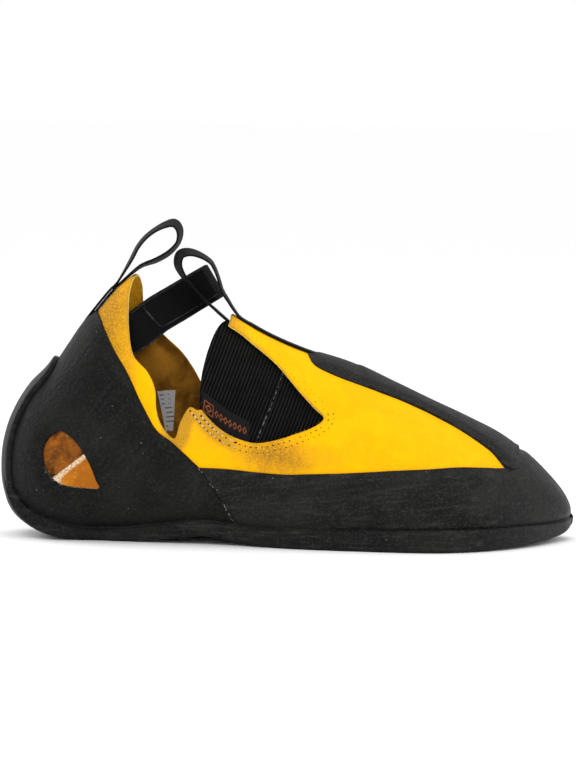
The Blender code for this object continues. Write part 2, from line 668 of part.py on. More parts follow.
def loop_places(start, end, tip, reach, route):
    """A pull loop: sewn strand, free part measured from tip, sewn strand."""
    free = [(tip.x - back * reach, tip.y - out * reach, tip.z + up * reach, turn) for back, up, out, turn in route]
    run = smooth([(*p, 0) for p in start] + free + [(*p, 0) for p in end], 2)
    places = []
    for i, (x, y, z, turn) in enumerate(run):
        ahead, behind = Vector(run[min(i + 1, len(run) - 1)][:3]), Vector(run[max(i - 1, 0)][:3])
        across = Matrix.Rotation(math.radians(turn), 3, ahead - behind) @ Vector((0, 1, 0))
        places.append((x, y, z, *across))
    return places


def heel_loop():
    """Pull loop at the back of the collar, sewn down the outside of the leather."""
    on_leather, on_top = GAP + WEBBING / 2, 2 * GAP + WEBBING * 1.5
    outer = [skin(row_at(share), 2, on_top) for share in HEEL_LOOP_SEWN]
    inner = [skin(row_at(share), 2, on_leather) for share in HEEL_LOOP_SEWN]
    tip = skin(row_at(HEEL_LOOP_TIP), 2, on_leather)
    places = loop_places(outer, inner[::-1], tip, HEEL_LOOP, HEEL_LOOP_ROUTE)
    return ribbon("heel_loop", places, WEBBING_WIDTH, WEBBING, WOVEN)


def front_loop():
    """Pull loop at the instep, with its tail along the leather strip to the toe patch."""
    on_strip = GAP + WEBBING / 2
    under_strip = -(WALL + GAP + GORE + GAP + WEBBING / 2)
    tail = [skin(row_at(share), 2, on_strip) for share in FRONT_LOOP_TAIL]
    hidden = [skin(row_at(share), 2, under_strip) for share in FRONT_LOOP_HIDDEN]
    tip = skin(row_at(FRONT_LOOP_TIP), 2, 0.0)
    places = loop_places(tail, hidden, tip, FRONT_LOOP, FRONT_LOOP_ROUTE)
    return ribbon("front_loop", places, WEBBING_WIDTH, WEBBING, WOVEN)


def ankle_strap():
    """Strap over the front of the ankle, sewn inside both collar walls."""
    x, z = side_point(*STRAP_SEWN[0])
    forward = Vector((math.cos(STRAP_SLOPE), 0, math.sin(STRAP_SLOPE)))
    sewn = {False: [], True: []}
    for inner, places in sewn.items():
        for share, level in STRAP_SEWN:
            row = row_at(share)
            turn = turn_at(row, level, inner)
            inside = skin(row, turn, -(WALL + GAP + STRAP_EASE + STRAP / 2))
            across = forward.cross(inside - skin(row, turn, 0.0)).normalized()
            places.append((*inside, *(across if across.z > 0 else -across)))
    free = []
    for along, side, lean in STRAP_ROUTE:
        centre = Vector((x, side * HEEL_WIDTH, z)) + forward * along * STRAP_REACH
        free.append((*centre, *Vector((-forward.z, lean, forward.x)).normalized()))
    route = [*sewn[False], *free, *sewn[True][::-1]]
    return ribbon("ankle_strap", smooth(route, 2), STRAP_WIDTH, STRAP, WOVEN)


def build():
    """The whole shoe in an empty scene."""
    for old in list(bpy.data.objects):
        bpy.data.objects.remove(old, do_unlink=True)
    upper()
    insole()
    gore("gore_lateral", False)
    gore("gore_medial", True)
    front_rand()
    heel_rand()
    toe_patch()
    outsole()
    heel_loop()
    front_loop()
    ankle_strap()


build()
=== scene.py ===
"""The climbing shoe's looks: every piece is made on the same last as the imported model.

Metres, +Z up, +X from heel to toe, +Y towards the inner side of the foot. The last is repeated
here with the shoe's own sizes. skin(rows, turns, depth) gives places on it: turn 0 is
underneath, 1 the outer side, 2 the ridge, 3 the inner side, and depth is measured outwards from
the outside of the leather. A rubber or leather piece is cut from a fine sheet on the last along
its own outline, and its thickness falls off towards its edges.
"""

import math

import bpy
import numpy as np
from mathutils import Matrix, Vector


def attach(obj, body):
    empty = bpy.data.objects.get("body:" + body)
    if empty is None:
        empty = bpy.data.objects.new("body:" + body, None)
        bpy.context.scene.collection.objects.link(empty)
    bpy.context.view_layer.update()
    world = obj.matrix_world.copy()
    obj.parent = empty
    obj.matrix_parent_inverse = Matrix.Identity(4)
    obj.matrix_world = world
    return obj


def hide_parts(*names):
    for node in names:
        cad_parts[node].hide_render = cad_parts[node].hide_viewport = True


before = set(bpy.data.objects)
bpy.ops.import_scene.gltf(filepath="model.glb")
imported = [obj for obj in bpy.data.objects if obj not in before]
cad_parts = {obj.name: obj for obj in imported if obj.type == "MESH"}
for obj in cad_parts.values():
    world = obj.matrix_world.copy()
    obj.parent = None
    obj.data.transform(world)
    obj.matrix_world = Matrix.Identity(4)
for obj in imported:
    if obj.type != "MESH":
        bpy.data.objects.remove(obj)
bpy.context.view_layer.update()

# Main sizes of the leather upper
LENGTH = 0.252  # heel to toe
BALL_WIDTH = 0.086  # across the ball
HEEL_WIDTH = 0.058  # across the heel
COLLAR_HEIGHT = 0.114  # underside to the tip of the heel collar
INSTEP_HEIGHT = 0.094  # underside to the back end of the instep strip
HEEL_REST = 0.170  # share of LENGTH from the heel to the origin

# Thicknesses
WALL = 0.0018  # suede upper
RAND = 0.0020  # rubber rands round toe and heel
SOLE = 0.0040  # outsole under the foot
SOLE_BACK = 0.0019  # outsole where it runs up the back of the heel
SOLE_STEP = 0.0009  # how far the outsole's side stands out from the rand
SOLE_CHAMFER = 0.0012  # outsole's lower edge
PATCH = 0.0016  # rubber patch over the toes
GORE = 0.0011  # elastic gore
INSOLE = 0.0026
GAP = 0.0003  # between pieces that touch
SEAT = GAP + RAND + GAP  # from the leather to the outsole
STACK = SEAT + SOLE  # from the floor to the leather

# Webbing and strap
WEBBING = 0.0011
WEBBING_WIDTH = 0.0090
HEEL_LOOP = 0.0300  # reach of the heel's pull loop
FRONT_LOOP = 0.0300  # reach of the front pull loop
STRAP = 0.0014
STRAP_WIDTH = 0.0165
STRAP_REACH = 0.0460  # from the strap's sewn ends to its front fold
STRAP_SLOPE = math.radians(31)

# Other sizes
HEEL_STRIP = 0.0230  # width of the outsole's strip up the back of the heel
HEEL_STRIP_TOP = 0.0725  # height of that strip above the leather's underside
SIDES_MEET = HEEL_WIDTH / 4  # nearer the middle, an outline runs from its outer to its inner line
FAR = 0.4  # well outside the shoe, for the corners of outlines
NOWHERE = 9.0  # farther than any place on the shoe

# Sections of the last, heel to toe.
# x: share of LENGTH. ball: 0 follows the heel's sizes, 1 the ball's.
# low, wide, top: underside, widest place and ridge, as shares of the collar or instep height.
# lat, mid, med: outer side, middle and inner side, as shares of the heel or ball width.
# round_*: 2 is an ellipse, more is squarer.
# edge: height of the outsole's edge above the leather's underside, as a share of STACK.
COLUMNS = "x ball low wide top lat mid med round_low round_lat round_med edge".split()
SECTIONS = (
    (0.0000, 0.00, 0.223, 0.223, 0.223, 0.000, 0.000, 0.000, 2.2, 2.10, 2.10, 1.30),
    (0.0040, 0.00, 0.135, 0.223, 0.319, 0.121, 0.000, 0.121, 2.2, 2.10, 2.10, 1.30),
    (0.0180, 0.00, 0.064, 0.221, 0.416, 0.247, 0.000, 0.245, 2.3, 2.10, 2.10, 1.15),
    (0.0440, 0.00, 0.026, 0.216, 0.515, 0.359, 0.000, 0.356, 2.5, 2.10, 2.10, 0.62),
    (0.0800, 0.00, 0.005, 0.211, 0.602, 0.445, 0.000, 0.440, 2.9, 2.10, 2.10, 0.25),
    (0.1350, 0.00, 0.000, 0.200, 0.784, 0.497, 0.000, 0.490, 3.2, 2.20, 2.20, -0.20),
    (0.1950, 0.00, 0.000, 0.189, 0.945, 0.509, 0.000, 0.488, 3.2, 2.50, 2.50, -0.17),
    (0.2460, 0.00, 0.007, 0.174, 1.003, 0.510, 0.000, 0.480, 3.2, 2.60, 2.60, -0.04),
    (0.3020, 0.00, 0.021, 0.153, 0.974, 0.517, 0.000, 0.466, 3.1, 2.50, 2.50, 0.06),
    (0.3500, 0.20, 0.033, 0.135, 0.935, 0.492, 0.000, 0.421, 3.0, 2.30, 2.30, -0.02),
    (0.3970, 0.45, 0.022, 0.127, 0.893, 0.472, 0.007, 0.388, 3.1, 2.10, 2.20, 0.03),
    (0.4600, 0.75, 0.003, 0.119, 0.856, 0.458, 0.019, 0.371, 3.4, 2.00, 2.10, 0.15),
    (0.5320, 1.00, 0.000, 0.111, 0.823, 0.454, 0.035, 0.384, 3.8, 1.95, 2.10, 0.30),
    (0.6030, 1.00, 0.000, 0.105, 0.764, 0.477, 0.052, 0.430, 4.0, 1.90, 2.10, 0.35),
    (0.6830, 1.00, 0.000, 0.100, 0.666, 0.494, 0.073, 0.477, 4.0, 1.85, 2.20, 0.45),
    (0.7540, 1.00, 0.000, 0.097, 0.577, 0.488, 0.093, 0.509, 4.0, 1.80, 2.30, 0.54),
    (0.8170, 1.00, 0.005, 0.095, 0.500, 0.428, 0.116, 0.515, 4.0, 1.80, 2.30, 0.46),
    (0.8730, 1.00, 0.011, 0.089, 0.423, 0.319, 0.145, 0.492, 3.8, 1.85, 2.30, 0.38),
    (0.9210, 1.00, 0.016, 0.084, 0.330, 0.180, 0.174, 0.447, 3.5, 1.90, 2.20, 0.26),
    (0.9560, 1.00, 0.022, 0.079, 0.243, 0.047, 0.198, 0.391, 3.0, 2.00, 2.10, 0.08),
    (0.9840, 1.00, 0.035, 0.073, 0.158, -0.076, 0.219, 0.326, 2.5, 2.00, 2.00, -0.10),
    (0.9970, 1.00, 0.050, 0.068, 0.099, -0.163, 0.228, 0.285, 2.2, 2.00, 2.00, -0.25),
    (1.0000, 1.00, 0.064, 0.064, 0.064, -0.233, 0.233, 0.233, 2.0, 2.00, 2.00, -0.35),
)
TOE = len(SECTIONS) - 1
FLAT_FROM = 5  # the first row on the heel's flat spot

# Collar opening, from behind the tip round to the instep. Share and level, outer then inner side.
COLLAR = (
    (0.208, 1.30, 0.219, 1.30),
    (0.207, 0.97, 0.226, 0.97),
    (0.209, 0.82, 0.232, 0.81),
    (0.219, 0.69, 0.250, 0.76),
    (0.245, 0.609, 0.272, 0.715),
    (0.259, 0.54, 0.298, 0.675),
    (0.262, 0.46, 0.319, 0.625),
    (0.273, 0.395, 0.336, 0.57),
    (0.294, 0.350, 0.348, 0.53),
    (0.304, 0.42, 0.358, 0.505),
    (0.320, 0.49, 0.366, 0.50),
    (0.342, 0.512, 0.374, 0.52),
    (0.361, 0.79, 0.380, 0.80),
    (0.3905, 0.99, 0.3905, 0.99),
    (0.3915, 1.30, 0.3915, 1.30),
)
# Opening over each gore: share and level of its lower edge, then of its upper edge.
GORE_OPENING = (
    (0.330, 0.520, 0.350, 0.75),
    (0.362, 0.458, 0.376, 0.925),
    (0.400, 0.436, 0.402, 0.948),
    (0.438, 0.448, 0.434, 0.930),
    (0.475, 0.498, 0.470, 0.893),
    (0.513, 0.565, 0.511, 0.796),
    (0.538, 0.615, 0.539, 0.725),
    (0.552, 0.655, 0.5535, 0.695),
    (0.556, 0.672, 0.557, 0.680),
)
# Gore under that opening: lower edge, middle and upper edge.
GORE_PANEL = (
    (0.336, 0.440, 0.344, 0.690, 0.389, 0.980),
    (0.362, 0.395, 0.375, 0.660, 0.407, 0.975),
    (0.405, 0.375, 0.415, 0.660, 0.440, 0.957),
    (0.460, 0.415, 0.465, 0.660, 0.490, 0.915),
    (0.520, 0.510, 0.525, 0.660, 0.540, 0.800),
    (0.575, 0.620, 0.577, 0.665, 0.580, 0.710),
)
# Front edge of the heel rand, top to bottom, down to its seam with the front rand.
HEEL_FRONT = (
    (0.148, 1.030, 0.148, 1.030),
    (0.158, 0.955, 0.166, 0.900),
    (0.183, 0.768, 0.190, 0.770),
    (0.210, 0.626, 0.226, 0.631),
    (0.236, 0.489, 0.258, 0.516),
    (0.262, 0.385, 0.290, 0.420),
    (0.288, 0.340, 0.317, 0.357),
    (0.314, 0.292, 0.349, 0.305),
    (0.339, 0.243, 0.377, 0.262),
)
# That seam, from the top of the rands to under the arch.
SEAM = (
    (0.339, 0.243, 0.377, 0.262),
    (0.361, 0.181, 0.393, 0.185),
    (0.385, 0.105, 0.410, 0.105),
    (0.406, 0.039, 0.428, 0.035),
    (0.425, -0.08, 0.445, -0.08),
)
# Top edge of the front rand, from the seam to the toe patch and over the ridge.
RAND_TOP = (
    (0.339, 0.243, 0.377, 0.262),
    (0.389, 0.274, 0.410, 0.285),
    (0.439, 0.302, 0.450, 0.310),
    (0.490, 0.324, 0.490, 0.335),
    (0.539, 0.351, 0.539, 0.360),
    (0.589, 0.377, 0.589, 0.385),
    (0.639, 0.418, 0.639, 0.425),
    (0.689, 0.471, 0.689, 0.475),
    (0.739, 0.529, 0.739, 0.527),
    (0.789, 0.598, 0.789, 0.592),
    (0.839, 0.660, 0.839, 0.650),
    (0.872, 0.712, 0.868, 0.700),
    (0.892, 0.800, 0.888, 0.790),
    (0.908, 1.050, 0.906, 1.050),
)
# Toe patch, back to front: outer edge, then inner edge.
PATCH_EDGE = (
    (0.527, 0.990, 0.527, 0.990),
    (0.536, 0.955, 0.536, 0.965),
    (0.560, 0.932, 0.560, 0.945),
    (0.600, 0.918, 0.600, 0.925),
    (0.650, 0.928, 0.650, 0.915),
    (0.700, 0.938, 0.700, 0.905),
    (0.750, 0.936, 0.750, 0.890),
    (0.800, 0.910, 0.800, 0.865),
    (0.845, 0.855, 0.845, 0.820),
    (0.863, 0.805, 0.863, 0.780),
    (0.878, 0.735, 0.878, 0.725),
    (0.893, 0.730, 0.893, 0.720),
    (0.904, 0.790, 0.904, 0.780),
    (0.907, 0.900, 0.907, 0.900),
)
# Teardrop window in the heel rand, on both sides.
WINDOW = (
    (0.093, 0.578), (0.106, 0.524), (0.118, 0.466), (0.130, 0.402), (0.145, 0.312), (0.158, 0.218),
    (0.163, 0.183), (0.134, 0.205), (0.099, 0.254), (0.078, 0.330), (0.068, 0.398), (0.064, 0.486),
    (0.067, 0.553), (0.078, 0.590),
)

# Free part of the heel loop, from the outer strand round to the strand on the leather.
# back: behind the collar's tip, up: above it, out: towards the outer side, as shares of
# HEEL_LOOP. turn: degrees that the webbing has turned about its length.
HEEL_LOOP_ROUTE = (
    (0.030, 0.210, 0.00, 8),
    (-0.060, 0.390, 0.00, 9),
    (-0.180, 0.545, 0.02, 9),
    (-0.330, 0.665, 0.04, 10),
    (-0.485, 0.745, 0.06, 15),
    (-0.610, 0.765, 0.07, 20),
    (-0.690, 0.660, 0.06, 16),
    (-0.670, 0.480, 0.05, 10),
    (-0.520, 0.310, 0.03, 13),
    (-0.310, 0.190, 0.02, 13),
    (-0.100, 0.100, 0.00, 8),
)
# Free part of the front loop, from the strand on the strip round to the strand under it,
# measured in the same way from the strip's back end, as shares of FRONT_LOOP.
FRONT_LOOP_ROUTE = (
    (0.070, 0.200, 0.08, -3),
    (0.165, 0.370, 0.17, -4),
    (0.235, 0.580, 0.20, -4),
    (0.330, 0.770, 0.27, -6),
    (0.490, 0.880, 0.33, -11),
    (0.660, 0.925, 0.37, -18),
    (0.790, 0.880, 0.40, -25),
    (0.815, 0.720, 0.41, -22),
    (0.705, 0.520, 0.38, -13),
    (0.500, 0.280, 0.29, -7),
    (0.270, 0.070, 0.14, 0),
    (0.090, -0.090, 0.04, 0),
)
# Free part of the strap, from the outer wall over the ankle to the inner wall.
# along: share of STRAP_REACH. side: share of HEEL_WIDTH. lean: towards the shoe's middle.
STRAP_ROUTE = (
    (0.36, -0.232, 0.22),
    (0.56, -0.120, 0.10),
    (0.76, 0.000, 0.04),
    (0.93, 0.090, 0.00),
    (0.985, 0.120, 0.00),
    (1.00, 0.165, 0.00),
    (0.985, 0.212, 0.00),
    (0.92, 0.235, 0.00),
    (0.76, 0.250, -0.06),
    (0.56, 0.265, -0.16),
    (0.36, 0.274, -0.26),
)
STRAP_SEWN = ((0.200, 0.782), (0.224, 0.785))  # share and level of its sewn ends, on each wall
# Shares of LENGTH: the heel loop's sewn strands, the front loop's tail and its strand under the strip
HEEL_LOOP_SEWN = (0.136, 0.150, 0.167, 0.179, 0.191)
HEEL_LOOP_TIP = 0.214
FRONT_LOOP_TAIL = (0.545, 0.523, 0.50, 0.475, 0.45, 0.425, 0.402)
FRONT_LOOP_HIDDEN = (0.398, 0.410, 0.425)
FRONT_LOOP_TIP = 0.3915
# Outsole's strip up the heel: half width as a share of HEEL_STRIP / 2, height of HEEL_STRIP_TOP.
HEEL_STRIP_SIDE = (
    (1.10, 0.10), (1.04, 0.30), (0.98, 0.52), (0.90, 0.74), (0.80, 0.88), (0.60, 0.96), (0.30, 0.995),
)
HEEL_STRIP_FRONT = 0.14  # share of LENGTH where it ends at the latest
STRAP_EASE = 0.0018  # more room behind the flat strap, because the wall is curved

MM = 0.001
SIDE_STEPS = 8  # points from each entry of an outline's table to the next
QUARTER = math.pi / 2


def between(p0, p1, p2, p3, t):
    """A smooth curve from p1 to p2."""
    bend = 2 * p0 - 5 * p1 + 4 * p2 - p3
    return 0.5 * (2 * p1 + (p2 - p0) * t + bend * t * t + (3 * p1 - 3 * p2 + p3 - p0) * t**3)


def smooth(points, steps):
    """A smooth run through rows of numbers, with this many steps from each to the next."""
    points = np.asarray(points, float)
    padded = np.vstack([2 * points[0] - points[1], points, 2 * points[-1] - points[-2]])
    t = np.arange(steps)[:, None] / steps
    runs = [between(*(padded[i + k] for k in range(4)), t) for i in range(len(points) - 1)]
    return np.vstack([*runs, points[-1:]])


def run_length(points, axis=0):
    """How far each place is from the start of its run, along one axis of a table of places."""
    steps = np.linalg.norm(np.diff(points, axis=axis), axis=-1)
    start = np.zeros_like(np.take(steps, [0], axis))
    return np.cumsum(np.concatenate([start, steps], axis), axis)


def sections_table():
    """The table with a mirrored section beyond each pole, so that both ends are round."""
    table = np.array(SECTIONS, float)
    ends = []
    for row, pole in ((table[1], table[0]), (table[-2], table[-1])):
        other = row.copy()
        for column in ("lat", "mid", "med", "low", "top"):
            k = COLUMNS.index(column)
            other[k] = 2 * pole[k] - other[k]
        ends.append(other)
    return np.vstack([ends[0], table, ends[1]])


LAST = sections_table()


def sections(rows):
    """The last's sections at row numbers, in metres."""
    rows = np.clip(np.asarray(rows, float), 0, TOE)
    i = np.minimum(rows.astype(int), TOE - 1)
    values = between(*(LAST[i + k] for k in range(4)), (rows - i)[:, None])
    s = dict(zip(COLUMNS, values.T))
    width = HEEL_WIDTH + (BALL_WIDTH - HEEL_WIDTH) * s["ball"]
    height = COLLAR_HEIGHT + (INSTEP_HEIGHT - COLLAR_HEIGHT) * s["ball"]
    s["x"] = (s["x"] - HEEL_REST) * LENGTH
    for column in ("low", "wide", "top"):
        s[column] = STACK + np.maximum(s[column], 0.0) * height
    s["lat"], s["mid"], s["med"] = -s["lat"] * width, s["mid"] * width, s["med"] * width
    s["edge"] = s["low"] + s["edge"] * STACK
    return s


def base_points(rows, turns):
    """Places on the outside of the leather."""
    s = sections(rows)
    turns = np.asarray(turns, float) % 4
    quarter = turns.astype(int)
    angle = (turns - quarter) * QUARTER
    side = np.where(quarter < 2, s["lat"], s["med"])
    power = np.choose(quarter, (s["round_low"], s["round_lat"], s["round_med"], s["round_low"]))
    end = np.where((quarter == 0) | (quarter == 3), s["low"], s["top"])
    across = np.where(quarter % 2 == 1, np.cos(angle), np.sin(angle))
    upwards = np.where(quarter % 2 == 1, np.sin(angle), np.cos(angle))
    y = s["mid"] + (side - s["mid"]) * np.abs(across) ** (2 / power)
    z = s["wide"] + (end - s["wide"]) * np.abs(upwards) ** (2 / power)
    return np.column_stack([s["x"], y, z])


def normals(rows, turns):
    """Directions straight out of the last."""
    step = 0.001
    rows = np.clip(np.asarray(rows, float), 2 * step, TOE - 2 * step)
    along = base_points(rows + step, turns) - base_points(rows - step, turns)
    around = base_points(rows, turns + step) - base_points(rows, turns - step)
    out = np.cross(along, around)
    return out / np.maximum(np.linalg.norm(out, axis=1), 1e-15)[:, None]


def skin(rows, turns, depth):
    """Places at a depth outside the leather."""
    rows, turns = np.asarray(rows, float), np.asarray(turns, float)
    out = normals(rows, turns)
    out[rows < 1e-6] = (-1, 0, 0)
    out[rows > TOE - 1e-6] = (1, 0, 0)
    return base_points(rows, turns) + out * np.broadcast_to(depth, rows.shape)[:, None]


ROW_LINE = np.linspace(0, TOE, 4401)
X_LINE = sections(ROW_LINE)["x"]


def row_at(share):
    """The rows at shares of the length."""
    return np.interp((np.asarray(share, float) - HEEL_REST) * LENGTH, X_LINE, ROW_LINE)


def turn_at(rows, levels, inner):
    """The turns at levels between the underside and the ridge, on the outer or the inner side."""
    s = sections(rows)
    z = s["low"] + np.clip(levels, 0.0, 1.0) * (s["top"] - s["low"])
    power = s["round_med"] if inner else s["round_lat"]
    above = np.clip((z - s["wide"]) / (s["top"] - s["wide"]), 0, 1) ** (power / 2)
    below = np.clip((s["wide"] - z) / (s["wide"] - s["low"]), 0, 1) ** (s["round_low"] / 2)
    turns = np.where(z >= s["wide"], 1 + np.arcsin(above) / QUARTER, np.arccos(below) / QUARTER)
    return 4 - turns if inner else turns


def side_places(line):
    """Where shares and levels lie in the side view."""
    line = np.asarray(line, float)
    s = sections(row_at(line[:, 0]))
    return np.column_stack([s["x"], s["low"] + line[:, 1] * (s["top"] - s["low"])])


def side_lines(table):
    """A table's outer and inner lines in the side view."""
    table = np.asarray(table, float)
    return [smooth(side_places(table[:, k : k + 2]), SIDE_STEPS) for k in (0, 2)]


def side_field(points, outer, inner):
    """How far inside an outline of the side view places are, in metres, negative outside it."""
    share = np.clip((points[:, 1] + SIDES_MEET) / (2 * SIDES_MEET), 0, 1)[:, None]
    x, z = points[:, 0], points[:, 2]
    nearest, inside = np.full(len(points), NOWHERE), np.zeros(len(points), bool)
    for k in range(len(outer)):
        n = (k + 1) % len(outer)
        a = outer[k] * (1 - share) + inner[k] * share
        b = outer[n] * (1 - share) + inner[n] * share
        ab = b - a
        t = ((x - a[:, 0]) * ab[:, 0] + (z - a[:, 1]) * ab[:, 1]) / np.maximum((ab * ab).sum(1), 1e-16)
        foot = a + ab * np.clip(t, 0, 1)[:, None]
        nearest = np.minimum(nearest, np.hypot(x - foot[:, 0], z - foot[:, 1]))
        rise = np.where(np.abs(ab[:, 1]) < 1e-12, 1e-12, ab[:, 1])
        inside ^= ((a[:, 1] > z) != (b[:, 1] > z)) & (x < ab[:, 0] * (z - a[:, 1]) / rise + a[:, 0])
    return np.where(inside, nearest, -nearest)


def line_distance(points, line):
    """How far places are from a run of straight pieces."""
    nearest = np.full(len(points), NOWHERE)
    for a, b in zip(line, line[1:]):
        ab = b - a
        t = np.clip((points - a) @ ab / max(ab @ ab, 1e-16), 0, 1)
        nearest = np.minimum(nearest, np.linalg.norm(points - a - t[:, None] * ab, axis=1))
    return nearest


def net_field(rows, turns, points, outline):
    """How far inside an outline on the last, given as rows and turns, places are."""
    outline = np.asarray(outline, float)
    inside = np.zeros(len(rows), bool)
    for a, b in zip(outline, np.roll(outline, -1, axis=0)):
        rise = b[1] - a[1] if abs(b[1] - a[1]) > 1e-12 else 1e-12
        inside ^= ((a[1] > turns) != (b[1] > turns)) & (rows < (b[0] - a[0]) * (turns - a[1]) / rise + a[0])
    closed = np.vstack([outline, outline[:1]])
    nearest = line_distance(points, base_points(closed[:, 0], closed[:, 1]))
    return np.where(inside, nearest, -nearest)


def net_lines(table, sides, steps=SIDE_STEPS):
    """Smooth lines of (row, turn) places through a table's pairs of shares and levels."""
    table = np.asarray(table, float)
    lines = []
    for k, inner in enumerate(sides):
        rows = row_at(table[:, 2 * k])
        turns = turn_at(rows, table[:, 2 * k + 1], inner)
        lines.append(smooth(np.column_stack([rows, turns]), steps))
    return lines


def net_outline(table, sides):
    """The closed outline between a table's first and last lines."""
    lines = net_lines(table, sides)
    return np.vstack([lines[0], lines[-1][::-1]])


def slide(rows, turns, move):
    """Places on the last moved by a vector along its surface."""
    rows, turns = rows.copy(), turns.copy()
    goal = base_points(rows, turns) + move
    step = 0.002
    for _ in range(3):
        now = base_points(rows, turns)
        along = (base_points(rows + step, turns) - now) / step
        around = (base_points(rows, turns + step) - now) / step
        left = goal - now
        aa, bb, ab = (along * along).sum(1), (around * around).sum(1), (along * around).sum(1)
        al, bl = (along * left).sum(1), (around * left).sum(1)
        det = np.maximum(aa * bb - ab * ab, 1e-18)
        rows += np.clip((al * bb - bl * ab) / det, -0.5, 0.5)
        turns += np.clip((bl * aa - al * ab) / det, -0.2, 0.2)
    return rows, turns


# Sheets of triangles on the last. A sheet is a table of corners, with the columns row, turn and
# any fields, and its triangles.


def even_rows(first, last, pitch):
    """Rows about a pitch apart on the surface."""
    dense = np.linspace(first, last, 2500)
    gaps = [
        np.linalg.norm(np.diff(base_points(dense, np.full(len(dense), turn)), axis=0), axis=1)
        for turn in (0.0, 0.6, 1.0, 1.5, 2.0, 2.5, 3.0, 3.4)
    ]
    travel = np.concatenate([[0], np.cumsum(np.max(gaps, axis=0))])
    return np.interp(np.linspace(0, travel[-1], int(travel[-1] / pitch) + 1), travel, dense)


def even_turns(rows, low, high):
    """For each row, turns evenly spaced round the section: low and high are counts per quarter."""
    t = np.linspace(0, 1, 61)
    t = t**2.5 / (t**2.5 + (1 - t) ** 2.5)
    columns = []
    for quarter, count in enumerate((low, high, high, low)):
        places = np.broadcast_to(quarter + t, (len(rows), len(t)))
        flat = base_points(np.repeat(rows, len(t)), places.ravel()).reshape(len(rows), len(t), 3)
        travel = run_length(flat, 1)
        share = np.linspace(0, 1, count + 1)[:-1]
        columns.append([np.interp(share * line[-1], line, quarter + t) for line in travel])
    return np.hstack([*columns, np.full((len(rows), 1), 4.0)])


def grid_faces(n, m):
    """Triangles over n rows of m corners."""
    i, k = np.meshgrid(np.arange(n - 1), np.arange(m - 1), indexing="ij")
    a = (i * m + k).ravel()
    return np.vstack([np.column_stack([a, a + m, a + m + 1]), np.column_stack([a, a + m + 1, a + 1])])


def sheet_on_last(pitch):
    """A sheet over the whole last, with its poles closed."""
    rows = even_rows(0.04, TOE - 0.04, pitch)
    turns = even_turns(rows, int(42 * MM / pitch), int(90 * MM / pitch))
    n, m = turns.shape
    corners = np.column_stack([np.repeat(rows, m), turns.ravel()])
    corners = np.vstack([corners, (0.0, 1.0), (float(TOE), 1.0)])
    k = np.arange(m - 1)
    ends = (n - 1) * m + k
    caps = [np.column_stack([k, k + 1, np.full(m - 1, n * m)])]
    caps.append(np.column_stack([ends + 1, ends, np.full(m - 1, n * m + 1)]))
    return corners, np.vstack([grid_faces(n, m), *caps])


def split(corners, faces, column, level, snap=0.06 * MM):
    """Cuts the triangles along a level of one field."""
    field = corners[:, column]
    field[np.abs(field - level) < snap] = level
    side = np.sign(field - level)
    marks = side[faces]
    crossing = (marks.min(1) < 0) & (marks.max(1) > 0)
    added, made, cut = [], {}, []

    def corner(a, b):
        key = (min(a, b), max(a, b))
        if key not in made:
            t = (level - field[key[0]]) / (field[key[1]] - field[key[0]])
            made[key] = len(corners) + len(added)
            added.append(corners[key[0]] * (1 - t) + corners[key[1]] * t)
            added[-1][column] = level
        return made[key]

    for a, b, c in faces[crossing].tolist():
        signs = (side[a], side[b], side[c])
        if 0 in signs:
            while side[a] != 0:
                a, b, c = b, c, a
            m = corner(b, c)
            cut += [(a, b, m), (a, m, c)]
        else:
            while side[b] != side[c]:
                a, b, c = b, c, a
            m, n = corner(a, b), corner(a, c)
            cut += [(a, m, n), (m, b, c), (m, c, n)]
    if added:
        corners = np.vstack([corners, added])
        faces = np.vstack([faces[~crossing], cut])
    return corners, faces


def keep(corners, faces, wanted):
    """The chosen triangles, with the unused corners dropped."""
    faces = faces[wanted]
    used, numbers = np.unique(faces, return_inverse=True)
    return corners[used], numbers.reshape(faces.shape)


def trimmed(corners, faces, column, levels):
    """The part of a sheet where a field is positive, with rows of corners at some levels of it."""
    near = corners[faces, column].max(1) > -2 * MM
    corners, faces = keep(corners, faces, near)
    for level in (0.0, *levels):
        corners, faces = split(corners, faces, column, level)
    return keep(corners, faces, corners[faces, column].mean(1) > 0)


def with_field(corners, faces, field):
    """A sheet with one more field, worked out from its rows, turns and places."""
    points = base_points(corners[:, 0], corners[:, 1])
    return np.column_stack([corners, field(corners[:, 0], corners[:, 1], points)]), faces


def rounding(distance, radius):
    """A quarter circle: 0 at an edge, 1 from a radius inwards."""
    t = np.clip(distance / radius, 0, 1)
    return np.sqrt(np.maximum(1 - (1 - t) ** 2, 0))


def ramp(distance, start, end):
    """A soft step from 0 to 1."""
    t = np.clip((distance - start) / (end - start), 0, 1)
    return t * t * (3 - 2 * t)


def waves(points, size, seed):
    """Slow, uneven swells of about a size across, from -1 to 1."""
    draw = np.random.default_rng(seed)
    total = np.zeros(len(points))
    for _ in range(5):
        way = draw.normal(size=3)
        way /= np.linalg.norm(way)
        total += np.sin(points @ way * (2 * math.pi / (size * draw.uniform(0.7, 1.4))) + draw.uniform(0, 6.3))
    return total / 5


def crease(points, inner, places, width, depth):
    """A soft trough, or a ridge if depth is negative, along shares and levels of one side."""
    places = np.asarray(places, float)
    rows = row_at(places[:, 0])
    line = smooth(base_points(rows, turn_at(rows, places[:, 1], inner)), 6)
    near = np.abs(points - line.mean(0)).max(1) < 0.09
    fall = np.zeros(len(points))
    fall[near] = np.exp(-((line_distance(points[near], line) / width) ** 2))
    return -depth * fall * ((points[:, 1] > 0) == inner)


LABEL_MIDDLE = 0.0054  # height of the label's motif
LABEL_DIAMONDS = 0.0024  # pitch of the motif's diamonds
# Dust on the rubber: pitch, radius and share left out of each size of speck
SPECKS = ((0.0042, 0.050, 0.70), (0.0085, 0.036, 0.50), (0.0026, 0.045, 0.80))

